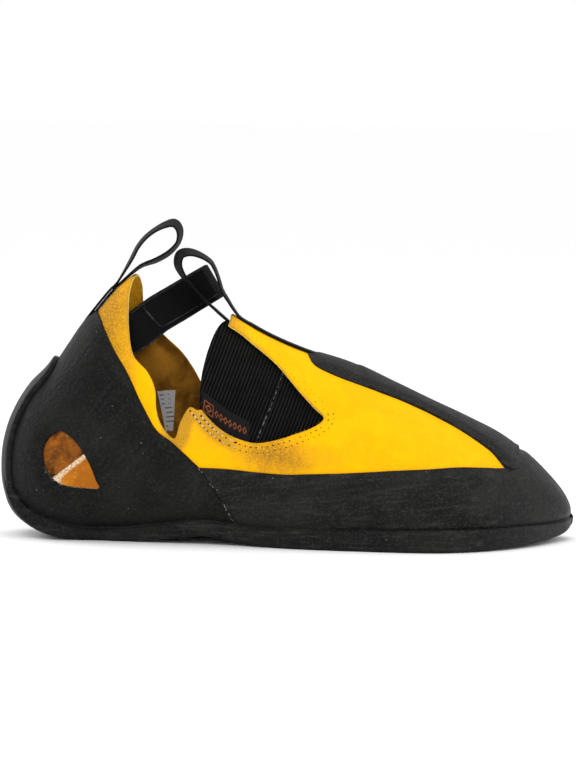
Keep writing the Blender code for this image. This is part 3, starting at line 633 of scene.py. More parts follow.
# Finishes. Noise sizes are in metres, read from Object coordinates or from the piece's own UV map.


class Finish:
    """A material's node tree, built from short steps that each return a socket."""

    def __init__(self, name, roughness=0.8, **settings):
        self.material = bpy.data.materials.new(name)
        self.material.use_nodes = True
        self.tree = self.material.node_tree
        self.shader = self.tree.nodes["Principled BSDF"]
        self.shader.inputs["Roughness"].default_value = roughness
        for socket, value in settings.items():
            self.shader.inputs[socket.replace("_", " ")].default_value = value
        self.place = self.make("ShaderNodeTexCoord").outputs["Object"]

    def make(self, kind, **settings):
        node = self.tree.nodes.new(kind)
        for key, value in settings.items():
            setattr(node, key, value)
        return node

    def feed(self, socket, value):
        if isinstance(value, bpy.types.NodeSocket):
            self.tree.links.new(value, socket)
        else:
            socket.default_value = value

    def math(self, operation, *values):
        node = self.make("ShaderNodeMath", operation=operation)
        for socket, value in zip(node.inputs, values):
            self.feed(socket, value)
        return node.outputs[0]

    def times(self, a, b):
        return self.math("MULTIPLY", a, b)

    def plus(self, a, b):
        return self.math("ADD", a, b)

    def minus(self, a, b):
        return self.math("SUBTRACT", a, b)

    def below(self, a, b):
        return self.math("LESS_THAN", a, b)

    def above(self, a, b):
        return self.math("GREATER_THAN", a, b)

    def wave(self, value, pitch):
        """From -1 to 1 and back in each pitch."""
        return self.math("SINE", self.times(value, 2 * math.pi / pitch))

    def stretched(self, scale, turn=(0, 0, 0)):
        """Object coordinates turned, then scaled along each axis."""
        turned = self.make("ShaderNodeMapping")
        self.feed(turned.inputs["Vector"], self.place)
        turned.inputs["Rotation"].default_value = turn
        node = self.make("ShaderNodeMapping")
        self.feed(node.inputs["Vector"], turned.outputs[0])
        node.inputs["Scale"].default_value = scale
        return node.outputs[0]

    def noise(self, size, detail=3.0, rough=0.55, place=None, twist=0.0):
        node = self.make("ShaderNodeTexNoise")
        self.feed(node.inputs["Vector"], place or self.place)
        node.inputs["Scale"].default_value = 1 / size
        node.inputs["Detail"].default_value = detail
        node.inputs["Roughness"].default_value = rough
        node.inputs["Distortion"].default_value = twist
        return node.outputs["Fac"]

    def cells(self, size, output="Distance"):
        node = self.make("ShaderNodeTexVoronoi", feature="F1")
        self.feed(node.inputs["Vector"], self.place)
        node.inputs["Scale"].default_value = 1 / size
        return node.outputs[output]

    def spread(self, value, low, high, to_low=0.0, to_high=1.0):
        """A value's range from low to high, stretched to another range and clamped."""
        node = self.make("ShaderNodeMapRange", interpolation_type="SMOOTHSTEP")
        for socket, number in zip(node.inputs, (value, low, high, to_low, to_high)):
            self.feed(socket, number)
        return node.outputs[0]

    def mix(self, share, first, second):
        node = self.make("ShaderNodeMix", data_type="RGBA")
        self.feed(node.inputs["Factor"], share)
        for socket, value in zip((node.inputs[6], node.inputs[7]), (first, second)):
            self.feed(socket, (*value, 1.0) if isinstance(value, tuple) else value)
        return node.outputs[2]

    def field(self, name):
        return self.make("ShaderNodeAttribute", attribute_name=name).outputs["Fac"]

    def uv(self):
        return self.make("ShaderNodeUVMap").outputs[0]

    def parts(self, vector):
        node = self.make("ShaderNodeSeparateXYZ")
        self.feed(node.inputs[0], vector)
        return node.outputs

    def spot(self, centre, radius, squash=(1, 1, 1)):
        """1 at a place on the shoe, falling to 0 at a ragged radius."""
        node = self.make("ShaderNodeVectorMath", operation="SUBTRACT")
        self.feed(node.inputs[0], self.place)
        node.inputs[1].default_value = centre
        scaled = self.make("ShaderNodeVectorMath", operation="MULTIPLY")
        self.feed(scaled.inputs[0], node.outputs[0])
        scaled.inputs[1].default_value = squash
        length = self.make("ShaderNodeVectorMath", operation="LENGTH")
        self.feed(length.inputs[0], scaled.outputs[0])
        ragged = self.plus(length.outputs["Value"], self.times(self.noise(0.004), radius * 0.5))
        return self.spread(ragged, radius * 0.35, radius * 1.3, 1.0, 0.0)

    def bump(self, *layers):
        """Relief from (height, metres) pairs."""
        last = None
        for height, metres in layers:
            node = self.make("ShaderNodeBump")
            node.inputs["Distance"].default_value = metres
            self.feed(node.inputs["Height"], height)
            if last:
                self.feed(node.inputs["Normal"], last)
            last = node.outputs[0]
        self.feed(self.shader.inputs["Normal"], last)

    def colour(self, value):
        self.feed(self.shader.inputs["Base Color"], value)

    def rough(self, value):
        self.feed(self.shader.inputs["Roughness"], value)


def suede_look(name, bright, deep, pale, dirt=None, stains=(), edges=False):
    """Napped suede: fine fibres, slow mottling, brown stains, and browner cut and stitched edges."""
    f = Finish(name, 0.92, Sheen_Weight=0.04, Sheen_Roughness=0.45, Specular_IOR_Level=0.10)
    f.shader.inputs["Sheen Tint"].default_value = (*pale, 1.0)
    nap = f.noise(0.0005, 4, 0.65)
    fibres = f.noise(0.0011, 3, 0.6, f.stretched((1, 1, 0.3), (0, 0.5, 0)))
    patches = f.noise(0.012, 3, 0.6, twist=0.6)
    colour = f.mix(f.spread(patches, 0.35, 0.7), deep, bright)
    colour = f.mix(f.spread(nap, 0.60, 0.34, 0.0, 0.35), colour, deep)
    colour = f.mix(f.spread(f.noise(0.0016, 2), 0.58, 0.74, 0.0, 0.22), colour, pale)
    for centre, radius, squash, strength in stains:
        grainy = f.spread(f.noise(0.0008, 4, 0.7), 0.38, 0.60, 0.50, 1.0)
        share = f.times(f.times(f.spot(centre, radius, squash), strength), grainy)
        colour = f.mix(share, colour, dirt)
    if edges:
        edge = f.plus(f.field("edge"), f.times(f.noise(0.0013, 4, 0.7), 0.0018))
        along = f.parts(f.place)[0]
        sewn = f.times(f.spread(along, 0.024, 0.031), f.spread(along, 0.066, 0.052))
        band = f.times(f.spread(edge, 0.0085, 0.0050, 0.0, 0.95), sewn)
        grainy = f.spread(nap, 0.30, 0.62, 0.45, 1.0)
        colour = f.mix(f.times(band, grainy), colour, (0.42, 0.215, 0.02))
        frayed = f.times(f.spread(edge, 0.0021, 0.0012, 0.0, 0.55), f.spread(f.noise(0.006, 3), 0.35, 0.6))
        colour = f.mix(frayed, colour, (0.42, 0.24, 0.03))
    f.colour(colour)
    f.bump((patches, 0.0005), (fibres, 0.00022), (nap, 0.00022))
    return f


def rubber_look(name, dark, light, roughness, grain, streaks, streak_turn=0.0):
    """Matte rubber: grain, faint wrinkles, sanding streaks, scuffs, dust and pale specks."""
    f = Finish(name, roughness, Specular_IOR_Level=0.10)
    skin_grain = f.noise(0.0007, 4, 0.6)
    wrinkles = f.noise(0.0045, 4, 0.62, f.stretched((1, 1, 0.55), (0, -0.5, 0)), 1.2)
    slow = f.noise(0.028, 3, 0.55, twist=0.8)
    rubbed = f.noise(0.0026, 5, 0.70, f.stretched((0.13, 0.6, 1.5), (0, streak_turn, 0)))
    colour = f.mix(f.spread(slow, 0.38, 0.68), dark, light)
    colour = f.mix(f.spread(rubbed, 0.48, 0.76, 0.0, streaks), colour, (0.075, 0.075, 0.073))
    speckled = f.spread(f.noise(0.0010, 5, 0.75), 0.46, 0.72, 0.0, 0.80)
    colour = f.mix(speckled, colour, tuple(3.4 * part for part in light))
    chalk = f.times(f.spread(f.noise(0.011, 3, 0.6), 0.56, 0.70), f.spread(skin_grain, 0.5, 0.66))
    colour = f.mix(f.times(chalk, 0.16), colour, (0.15, 0.15, 0.145))
    for size, reach, share in SPECKS:
        near = f.spread(f.cells(size), reach, reach * 0.55)
        chosen = f.parts(f.cells(size, output="Color"))[0]
        speck = f.times(near, f.above(chosen, share))
        colour = f.mix(f.times(speck, 0.75), colour, (0.42, 0.42, 0.40))
    f.colour(colour)
    f.rough(f.spread(f.plus(slow, rubbed), 0.7, 1.3, roughness - 0.07, roughness + 0.12))
    f.bump((wrinkles, 0.00045 * grain), (rubbed, 0.00010), (skin_grain, 0.00020 * grain))
    return f


def woven_look(name, dark, light, pitch, roughness=0.62):
    """Woven tape: a herringbone of slanting threads, with plain selvedges. The threads' crowns are painted
    lighter, as a painted highlight.
    """
    f = Finish(name, roughness, Specular_IOR_Level=0.12)
    across, along = f.parts(f.uv())[:2]
    rows = f.math("ABSOLUTE", f.minus(f.math("ABSOLUTE", across), 0.0019))
    slant = f.plus(along, f.times(rows, 1.3))
    threads = f.wave(slant, pitch)
    ends = f.wave(across, pitch * 0.8)
    weave = f.times(f.plus(threads, f.times(ends, 0.45)), 0.5)
    fuzz = f.noise(0.0004, 3, 0.6)
    # Painted highlight: the threads' crowns, mottled by noise, take the light shade.
    painted_thread_highlight = f.times(f.spread(weave, 0.4, 0.9), f.spread(f.noise(0.003, 3), 0.38, 0.7, 0.15, 1.0))
    f.colour(f.mix(painted_thread_highlight, dark, light))
    f.rough(f.spread(weave, -0.8, 0.8, roughness + 0.15, roughness - 0.1))
    f.bump((weave, 0.00022), (fuzz, 0.00008))
    return f


def gore_look():
    """Ribbed elastic: knitted ribs with fine cross threads and a few light fibres. The rib crests are painted
    lighter, as a painted highlight.
    """
    f = Finish("ribbed_elastic", 0.78, Specular_IOR_Level=0.06)
    away, across = f.parts(f.uv())[:2]
    picks = f.wave(across, 0.00062)
    strands = f.wave(away, RIB / 3)
    rib = f.field("rib")
    # Painted highlight: the rib crests, crossed by the fine threads, are painted lighter than the black
    # between them.
    top = f.times(f.spread(rib, 0.35, 1.0), f.spread(picks, -0.6, 0.9, 0.35, 1.0))
    patchy = f.spread(f.noise(0.006, 3), 0.3, 0.7, 0.5, 1.0)
    colour = f.mix(f.times(top, patchy), (0.0010, 0.0010, 0.0010), (0.024, 0.024, 0.023))
    crossing = f.below(f.math("ABSOLUTE", f.field("fold")), 0.00022)
    dashes = f.spread(f.noise(0.0016, 2), 0.42, 0.60)
    colour = f.mix(f.times(f.times(crossing, dashes), 0.55), colour, (0.26, 0.26, 0.25))
    f.colour(colour)
    f.bump((picks, 0.00006), (strands, 0.00005), (f.noise(0.0004, 3), 0.00008))
    return f


def cut_edge_look():
    """The leather's raw cut edge: bright, fibrous, dusty in places."""
    f = Finish("suede_cut_edge", 0.95, Sheen_Weight=0.4, Sheen_Roughness=0.5, Specular_IOR_Level=0.15)
    fibre = f.noise(0.0006, 4, 0.7)
    colour = f.mix(f.spread(fibre, 0.35, 0.65), (0.62, 0.40, 0.03), (0.98, 0.78, 0.10))
    f.colour(f.mix(f.spread(f.noise(0.005, 3), 0.55, 0.75, 0.0, 0.5), colour, (0.45, 0.27, 0.06)))
    f.bump((fibre, 0.0004))
    return f


def lap_look():
    """The lapped heel leather: tan suede, with a pale skived edge that shows its fibres."""
    f = suede_look("heel_suede_lap", (0.60, 0.21, 0.012), (0.36, 0.11, 0.008), (0.72, 0.38, 0.09))
    edge = f.plus(f.field("edge"), f.times(f.noise(0.0011, 4, 0.7), 0.0016))
    tan = f.shader.inputs["Base Color"].links[0].from_socket
    pale = f.mix(f.spread(f.noise(0.0008, 4, 0.7), 0.35, 0.62), (0.36, 0.20, 0.08), (0.80, 0.66, 0.46))
    wide = f.spread(f.parts(f.place)[0], -0.028, -0.015, 0.0088, 0.0030)
    f.colour(f.mix(f.spread(f.math("DIVIDE", edge, wide), 0.75, 1.15), pale, tan))
    return f


def plain_look(name, colour, roughness=0.8):
    """A thread's or speck's finish: one colour, slightly uneven, with fine fibres."""
    f = Finish(name, roughness, Specular_IOR_Level=0.25)
    darker = tuple(part * 0.7 for part in colour)
    f.colour(f.mix(f.spread(f.noise(0.0012, 3), 0.35, 0.65), darker, colour))
    f.bump((f.noise(0.0003, 2), 0.00008))
    return f


def label_look():
    """Black woven label with a plain orange frame and a row of diamonds. UV is in metres."""
    f = Finish("woven_label", 0.7, Specular_IOR_Level=0.15)
    along, up = f.parts(f.uv())[:2]
    weave = f.wave(up, 0.0004)
    middle = f.math("ABSOLUTE", f.minus(up, LABEL_MIDDLE))
    away = f.math("ABSOLUTE", f.minus(along, 0.0040))
    box = f.math("MAXIMUM", away, middle)
    frame_line = f.times(f.below(box, 0.0027), f.above(box, 0.0022))
    small = f.plus(away, middle)
    dot = f.times(f.below(small, 0.0019), f.above(small, 0.0010))
    cell = f.minus(f.math("MODULO", along, LABEL_DIAMONDS), LABEL_DIAMONDS / 2)
    diamond = f.plus(f.math("ABSOLUTE", cell), f.times(middle, 0.62))
    ring = f.times(f.below(diamond, 0.00112), f.above(diamond, 0.00058))
    span = f.times(f.above(along, 0.0072), f.below(along, 0.0240))
    mark = f.math("MAXIMUM", f.math("MAXIMUM", frame_line, dot), f.times(ring, span))
    wear_and_edge_highlight = f.times(mark, f.spread(f.noise(0.0008, 2), 0.3, 0.6, 0.4, 1.0))
    f.colour(f.mix(wear_and_edge_highlight, (0.003, 0.003, 0.0033), (0.24, 0.058, 0.015)))
    f.bump((weave, 0.00004))
    return f


def size_label_look():
    """White satin label with plain grey rules."""
    f = Finish("size_label", 0.6, Specular_IOR_Level=0.3)
    along, up = f.parts(f.uv())[:2]
    rule = f.below(f.math("MODULO", up, 0.0021), 0.0006)
    inside = f.times(f.above(along, 0.0009), f.below(along, 0.0052))
    broken = f.above(f.noise(0.0030, 1), 0.47)
    mark = f.times(f.times(rule, inside), broken)
    f.colour(f.mix(f.times(mark, 0.8), (0.86, 0.86, 0.85), (0.12, 0.12, 0.13)))
    f.bump((f.noise(0.0004, 2), 0.00006), (f.noise(0.006, 2), 0.0006))
    return f


def strap_look(name, fold, half, tip=0.0):
    """The strap's cloth: close black pile, a coarse hatch on its folded end, and painted highlights:
    selvedges painted paler and the hatch's lines painted lighter.
    """
    f = Finish(name, 0.92, Specular_IOR_Level=0.08)
    across, along = f.parts(f.uv())[:2]
    fine = f.noise(0.0005, 4, 0.7)
    pile = f.mix(f.spread(fine, 0.35, 0.7), (0.0010, 0.0010, 0.0011), (0.0048, 0.0048, 0.0049))
    # Painted reflection: the hatch's lines on the folded end are painted lighter, for the light they catch.
    hatch = f.wave(f.plus(along, f.times(across, 0.6)), 0.0011)
    folded = f.above(along, fold)
    colour = f.mix(f.times(f.spread(hatch, -0.2, 0.8), folded), pile, (0.034, 0.034, 0.034))
    # Painted highlight: the selvedges, and with tip the layer's starting end, are painted paler, mottled by
    # noise.
    rim = f.above(f.math("ABSOLUTE", across), half - 0.00055)
    if tip:
        rim = f.math("MAXIMUM", rim, f.below(along, tip))
    wear_and_edge_highlight = f.times(rim, f.spread(f.noise(0.0025, 3), 0.4, 0.65, 0.25, 1.0))
    f.colour(f.mix(wear_and_edge_highlight, colour, (0.030, 0.030, 0.031)))
    f.bump((fine, 0.00012), (f.times(hatch, folded), 0.0003))
    return f


# The pieces.

SKIVE = 6 * MM  # how far in from an edge a rubber layer reaches its full thickness
UNDERFOOT = 0.36  # below this turn the leather is open, under the insole
LEATHER_SHARP, SHEET_SHARP = math.radians(50), math.radians(60)  # edges turned more than this aren't smoothed


def linked(name, data):
    """An object for a mesh, a lamp or a camera, put into the scene."""
    made = bpy.data.objects.new(name, data)
    bpy.context.scene.collection.objects.link(made)
    return made


def add_mesh(name, points, faces, looks, which=None, fields=None, uv=None):
    """A smooth-shaded mesh object. which gives each face's material, fields its corners' values."""
    mesh = bpy.data.meshes.new(name)
    mesh.from_pydata(points.tolist(), [], faces.tolist() if isinstance(faces, np.ndarray) else faces)
    for look in looks:
        mesh.materials.append(look)
    if which is not None:
        mesh.polygons.foreach_set("material_index", np.asarray(which, np.int32))
    for title, values in (fields or {}).items():
        mesh.attributes.new(title, "FLOAT", "POINT").data.foreach_set("value", np.asarray(values, np.float32))
    if uv is not None:
        layer = mesh.uv_layers.new(name="UVMap")
        corners = np.empty(len(mesh.loops), np.int32)
        mesh.loops.foreach_get("vertex_index", corners)
        layer.data.foreach_set("uv", np.asarray(uv, np.float32)[corners].ravel())
    mesh.shade_smooth()
    return linked(name, mesh)


def welded(points, faces):
    """The same triangles with the corners that meet made one, so the seam underneath is smooth."""
    keys = np.round(np.asarray(points) / (0.002 * MM)).astype(np.int64)
    _, first, numbers = np.unique(keys, axis=0, return_index=True, return_inverse=True)
    faces = numbers.reshape(-1)[np.asarray(faces)]
    real = (faces[:, 0] != faces[:, 1]) & (faces[:, 1] != faces[:, 2]) & (faces[:, 0] != faces[:, 2])
    return first, faces, real


def both_faces(faces, count):
    """A sheet's triangles, those of its other face, count corners on, and those round its rim."""
    pairs = np.vstack([faces[:, [0, 1]], faces[:, [1, 2]], faces[:, [2, 0]]])
    n = pairs.max() + 1
    keys, back = pairs[:, 0] * n + pairs[:, 1], pairs[:, 1] * n + pairs[:, 0]
    a, b = pairs[~np.isin(keys, back)].T
    sides = np.vstack([np.column_stack([b, a, a + count]), np.column_stack([b, a + count, b + count])])
    return faces, faces[:, ::-1] + count, sides


def place(piece, slot, *nodes):
    """Makes a finished piece ride on the shoe and stand for CAD nodes. slot is not used."""
    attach(piece, "root")
    if nodes:
        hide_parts(*nodes)
    return piece


def cover(name, cut, edge_of, base, lip, full, look, relief=None, pitch=1.1 * MM, eased=3 * MM):
    """A layer on the last. cut bounds it. Its thickness falls to a thin lip at edge_of's zero."""
    corners, faces = with_field(*with_field(*sheet_on_last(pitch), cut), edge_of)
    corners, faces = trimmed(corners, faces, 2, (0.12 * MM, 0.4 * MM))
    for level in (0.12 * MM, 0.3 * MM, 0.6 * MM, 1.5 * MM, 4 * MM):
        corners, faces = split(corners, faces, 3, level)
    rows, turns, seam, edge = corners.T[:4]
    thick = lip * rounding(edge, 0.35 * MM) + (full - lip) * ramp(edge, 0.2 * MM, SKIVE)
    depth = base + thick - 0.30 * MM * (1 - rounding(seam, 0.4 * MM))
    if relief:
        depth += relief(rows, turns, base_points(rows, turns), edge) * ramp(edge, 0, eased)
    points = skin(rows, turns, depth)
    first, faces, real = welded(points, faces)
    fields = {"edge": edge[first], "seam": seam[first]}
    return add_mesh(name, points[first], faces[real], [look], fields=fields)


# Outlines of what is cut away or covered. Each field is positive inside.


def collar_field(rows, turns, points):
    """How far places are inside the collar's opening."""
    return side_field(points, *side_lines(COLLAR))


def gore_opening_field(inner):
    """The field of the opening over one gore."""
    outline = net_outline(GORE_OPENING[1:] if inner else GORE_OPENING, (inner, inner))

    def field(rows, turns, points):
        return net_field(rows, turns, points, outline)

    return field


def open_outline(line, *corners):
    """A line closed by far corners."""
    return np.vstack([line, np.array(corners)])


def rand_sides():
    """Side outlines of all that the front rand covers."""
    outlines = []
    for seam, top in zip(side_lines(SEAM), side_lines(RAND_TOP)):
        line = np.vstack([seam[::-1], top[1:]])
        outlines.append(open_outline(line, (top[-1][0], FAR), (FAR, FAR), (FAR, -FAR), (seam[-1][0], -FAR)))
    return outlines


def front_rand_field(rows, turns, points):
    return side_field(points, *rand_sides())


def rand_top_field(rows, turns, points):
    """How far places are below the front rand's top edge, carried on behind the seam."""
    outlines = []
    for top in side_lines(RAND_TOP):
        line = np.vstack([(-FAR, top[0][1] + 2 * MM), top])
        outlines.append(open_outline(line, (top[-1][0], FAR), (FAR, FAR), (FAR, -FAR), (-FAR, -FAR)))
    return side_field(points, *outlines)


def heel_outlines(lengthen=0.0):
    """Side outlines of the heel's rubber, or of what lies behind its front edge carried on down."""
    outlines = []
    for front, seam in zip(side_lines(HEEL_FRONT), side_lines(SEAM)):
        if lengthen:
            way = (front[-1] - front[-8]) / np.linalg.norm(front[-1] - front[-8])
            seam = np.vstack([front[-1], front[-1] + way * lengthen])
        line = np.vstack([front, seam[1:]])
        outlines.append(open_outline(line, (seam[-1][0], -FAR), (-FAR, -FAR), (-FAR, front[0][1])))
    return outlines


def window_field(rows, turns, points):
    """How far places are inside the heel's windows."""
    ring = side_places((*WINDOW[-2:], *WINDOW, *WINDOW[:2]))
    window = smooth(ring, 6)[12:-7]
    return side_field(points, window, window)


def heel_rand_field(rows, turns, points):
    return np.minimum(side_field(points, *heel_outlines()), -window_field(rows, turns, points))


def heel_edge_field(rows, turns, points):
    """How far places are from the heel rubber's thin edges: its front one and the window's."""
    front = side_field(points, *heel_outlines(60 * MM))
    return np.minimum(front, -window_field(rows, turns, points))


PATCH_OUTLINE = net_outline(PATCH_EDGE, (False, True))


def patch_field(rows, turns, points):
    return net_field(rows, turns, points, PATCH_OUTLINE)


def leather_field(rows, turns, points):
    """How far places are from the collar and the openings over the gores."""
    cut = collar_field(rows, turns, points)
    for inner in (False, True):
        cut = np.maximum(cut, gore_opening_field(inner)(rows, turns, points))
    return -cut


LEATHER_CREASES = (
    # inner side, places as (share, level), width, depth
    (False, ((0.455, 0.44), (0.475, 0.40), (0.50, 0.36), (0.52, 0.335)), 2.6 * MM, 0.45 * MM),
    (False, ((0.43, 0.40), (0.44, 0.36), (0.452, 0.33)), 2.0 * MM, 0.25 * MM),
    (False, ((0.60, 0.86), (0.64, 0.76), (0.67, 0.66)), 5.0 * MM, -0.30 * MM),
    (True, ((0.262, 0.71), (0.292, 0.60), (0.305, 0.50), (0.31, 0.40)), 4.5 * MM, -1.0 * MM),
    (True, ((0.236, 0.74), (0.255, 0.62), (0.27, 0.50)), 4.0 * MM, 0.9 * MM),
    (True, ((0.325, 0.52), (0.335, 0.44), (0.34, 0.36)), 3.5 * MM, 0.7 * MM),
    (True, ((0.46, 0.42), (0.50, 0.37), (0.53, 0.34)), 3.0 * MM, 0.4 * MM),
    (False, ((0.222, 0.60), (0.238, 0.52), (0.248, 0.44)), 3.2 * MM, 0.5 * MM),
)
RUBBER_CREASES = (
    (False, ((0.156, 0.172), (0.166, 0.120), (0.182, 0.075), (0.196, 0.03)), 0.7 * MM, 0.35 * MM),
    (False, ((0.172, 0.175), (0.18, 0.12), (0.197, 0.07)), 3.5 * MM, -0.25 * MM),
    (True, ((0.156, 0.172), (0.166, 0.120), (0.182, 0.075), (0.196, 0.03)), 0.7 * MM, 0.35 * MM),
    (False, ((0.24, 0.40), (0.215, 0.34), (0.19, 0.30)), 5.0 * MM, 0.45 * MM),
    (False, ((0.11, 0.80), (0.15, 0.62), (0.17, 0.48)), 6.0 * MM, 0.40 * MM),
    (True, ((0.24, 0.42), (0.215, 0.34), (0.19, 0.30)), 5.0 * MM, 0.45 * MM),
)


def creased(points, table):
    """The listed troughs and ridges of one table."""
    total = np.zeros(len(points))
    for inner, places, width, depth in table:
        total += crease(points, inner, places, width, depth)
    return total


def rubber_relief(rows, turns, points, edge):
    """Slow swells, and the creases of the rubber."""
    swells = 0.16 * MM * waves(points, 0.030, 3) + 0.05 * MM * waves(points, 0.008, 4)
    return swells + creased(points, RUBBER_CREASES)


PATCH_LAYER = 0.615  # share of LENGTH where the patch's second layer begins
PATCH_STEP = 0.34 * MM


def patch_relief(rows, turns, points, edge):
    """The patch's front half is a second layer, with a slanting step where it begins."""
    step = points[:, 0] - (PATCH_LAYER - HEEL_REST) * LENGTH - 0.35 * np.abs(points[:, 1] - 0.004)
    lift = PATCH_STEP * ramp(step, -0.5 * MM, 0.5 * MM) - 0.12 * MM * rounding(-step, 3 * MM) * (step < 0)
    over = 0.60 * MM * ramp(rand_top_field(rows, turns, points), -1.5 * MM, 0.6 * MM)
    return lift + over + 0.08 * MM * waves(points, 0.02, 9)


def leather_relief(places):
    """Creases and slow swells of the leather, none under the foot."""
    relief = creased(places, LEATHER_CREASES) + 0.12 * MM * waves(places, 0.035, 1)
    relief += 0.05 * MM * waves(places, 0.009, 2)
    return relief * ramp(places[:, 2], 0.016, 0.030)


def upper_piece(suede, nap, cut_edge, heel_suede, glued):
    """The leather: outside, inside and the cut edge between them."""
    corners, faces = with_field(*sheet_on_last(1.3 * MM), leather_field)
    corners, faces = trimmed(corners, faces, 2, [0.12 * MM, 0.35 * MM, 0.8 * MM, 1.6 * MM])
    hidden = np.minimum(corners[:, 1], 4 - corners[:, 1]) < UNDERFOOT
    hidden &= (corners[:, 0] > 4) & (corners[:, 0] < TOE - 3)
    corners, faces = keep(corners, faces, ~hidden[faces].all(1))
    rows, turns, edge = corners.T[:3]
    places = base_points(rows, turns)
    relief = leather_relief(places)
    ragged = 0.10 * MM * waves(places, 0.0022, 5)
    top = relief - 0.75 * MM * (1 - rounding(edge, 0.8 * MM)) + ragged * (edge < 0.2 * MM)
    bottom = relief - WALL + 0.5 * MM * (1 - rounding(edge, 0.7 * MM))
    first, faces, real = welded(places, faces)
    faces = faces[real]
    rows, turns, edge, top, bottom = rows[first], turns[first], edge[first], top[first], bottom[first]
    n = len(rows)
    points = np.vstack([skin(rows, turns, top), skin(rows, turns, bottom)])
    faces, inside, sides = both_faces(faces, n)
    places = base_points(rows, turns)
    heel = side_field(places, *heel_outlines())[faces].mean(1) > 2 * MM
    window = window_field(rows, turns, places)[faces].mean(1) > -4 * MM
    covered = np.maximum(front_rand_field(rows, turns, places), patch_field(rows, turns, places))
    covered = (covered[faces].mean(1) > 0.8 * MM) | (heel & ~window)
    outside = np.where(window, 3, np.where(covered, 4, 0))
    which = np.concatenate([outside, np.full(len(inside), 1), np.full(len(sides), 2)])
    made = add_mesh(
        "upper_leather", points, np.vstack([faces, inside, sides]), [suede, nap, cut_edge, heel_suede, glued],
        which, {"edge": np.tile(edge, 2)},
    )
    made.data.set_sharp_from_angle(angle=LEATHER_SHARP)
    return made


LAP_EDGE = ((0.068, 0.288), (0.128, 0.362))  # lapped leather's edge inside the window: share, level


def heel_lap_field(rows, turns, points):
    """A second piece of leather under the heel's rubber, below a straight edge."""
    a, b = side_places(LAP_EDGE)
    along = (b - a) / np.linalg.norm(b - a)
    away = (points[:, 0] - a[0]) * along[1] - (points[:, 2] - a[1]) * along[0]
    return np.minimum(away, window_field(rows, turns, points) + 3 * MM)


def sole_edge_turn(rows, inner):
    """The turns where the outsole's edge starts."""
    edge = sections(rows)["edge"]
    low, high = np.zeros(len(rows)), np.ones(len(rows))
    for _ in range(30):
        turns = (low + high) / 2
        below = skin(rows, 4 - turns if inner else turns, SEAT + SOLE_STEP)[:, 2] < edge
        low, high = np.where(below, turns, low), np.where(below, high, turns)
    return 4 - low if inner else low


def unit(vectors):
    return vectors / np.linalg.norm(vectors, axis=1)[:, None]


def sole_side(rows, inner):
    """Corner points of one side of the outsole's section, from its edge to under the foot."""
    s = sections(rows)
    flat = np.clip((rows - 1) / (FLAT_FROM - 1), 0, 1)
    thick = SOLE_BACK + (SOLE - SOLE_BACK) * flat
    under = np.column_stack([s["x"], s["mid"], s["low"] - STACK])
    down = np.tile((0.0, 0.0, -1.0), (len(rows), 1))
    round_part = rows < FLAT_FROM
    zero = np.zeros(len(rows))
    under[round_part] = skin(rows, zero, SEAT + thick)[round_part]
    down[round_part] = normals(rows, zero)[round_part]
    turns = sole_edge_turn(rows, inner)
    edge = skin(rows, turns, SEAT + SOLE_STEP)
    edge[:, 2] = s["edge"]
    inwards = -normals(rows, turns) * (1, 1, 0) * SOLE_CHAMFER
    corner = edge + down * ((under - edge) * down).sum(1)[:, None]
    trough = (corner + inwards / 4 - down * SOLE_CHAMFER, corner + inwards, corner + (under - corner) * 0.4)
    places = [edge]
    for share, point in zip((0.9, 0.8, 0.5), trough):
        part = 4 + (turns - 4) * share if inner else turns * share
        bent = skin(rows, part, SEAT + thick)
        places.append(bent + (point - bent) * flat[:, None])
    seat = skin(rows, turns, SEAT - 0.5 * MM)
    seat[:, 2] = np.maximum(seat[:, 2], s["edge"] - 0.4 * MM) - 0.1 * MM
    wall = unit(places[1] - edge)
    out = unit(normals(rows, turns) * (1, 1, 0.0))
    lip = edge - out * 0.45 * MM
    shoulder = edge + wall * 0.4 * MM
    low_wall = places[1] - wall * 0.6 * MM
    chamfer = places[2] + unit(places[3] - places[2]) * 1.2 * MM
    middle = (shoulder + low_wall) / 2
    return [seat, lip, edge, shoulder, middle, low_wall, places[1], places[2], chamfer, places[3]], under


def outsole_piece(look):
    """The sole's body, with its strip up the back of the heel."""
    rows = even_rows(1.0, TOE - 0.12, 1.1 * MM)
    outer, under = sole_side(rows, False)
    inner, _ = sole_side(rows, True)
    ring = np.stack([*outer, under, *inner[::-1]], axis=1)
    for _ in range(3):
        soft = np.empty((ring.shape[0], 2 * ring.shape[1], 3))
        soft[:, 0], soft[:, -1] = ring[:, 0], ring[:, -1]
        soft[:, 1:-1:2] = ring[:, :-1] * 0.75 + ring[:, 1:] * 0.25
        soft[:, 2::2] = ring[:, :-1] * 0.25 + ring[:, 1:] * 0.75
        ring = soft
    n, m = ring.shape[:2]
    tip = skin([TOE], [0.0], SEAT + SOLE_STEP)[0]
    tip[2] = sections([TOE])["edge"][0]
    foot = np.array((tip[0] - SOLE_CHAMFER, tip[1], sections([TOE])["low"][0] - STACK))
    share = np.linspace(-1, 1, m)
    nose = tip + (foot - tip) * (1 - np.abs(share[:, None]) ** 2.2)
    nose[:, 0] += 0.4 * MM * (1 - share**2)
    nose[0], nose[-1] = nose[1], nose[-2]
    points = np.vstack([ring.reshape(-1, 3), nose])
    faces = grid_faces(n + 1, m)
    swell = 0.10 * MM * waves(points, 0.03, 7) * ramp(points[:, 2], 0.5 * MM, 3 * MM)
    points[:, 1] += swell
    strip, strip_faces = heel_strip(len(points))
    points, faces = np.vstack([points, strip]), np.vstack([faces, strip_faces])
    first, faces, real = welded(points, faces)
    return add_mesh("outsole_rubber", points[first], faces[real], [look])


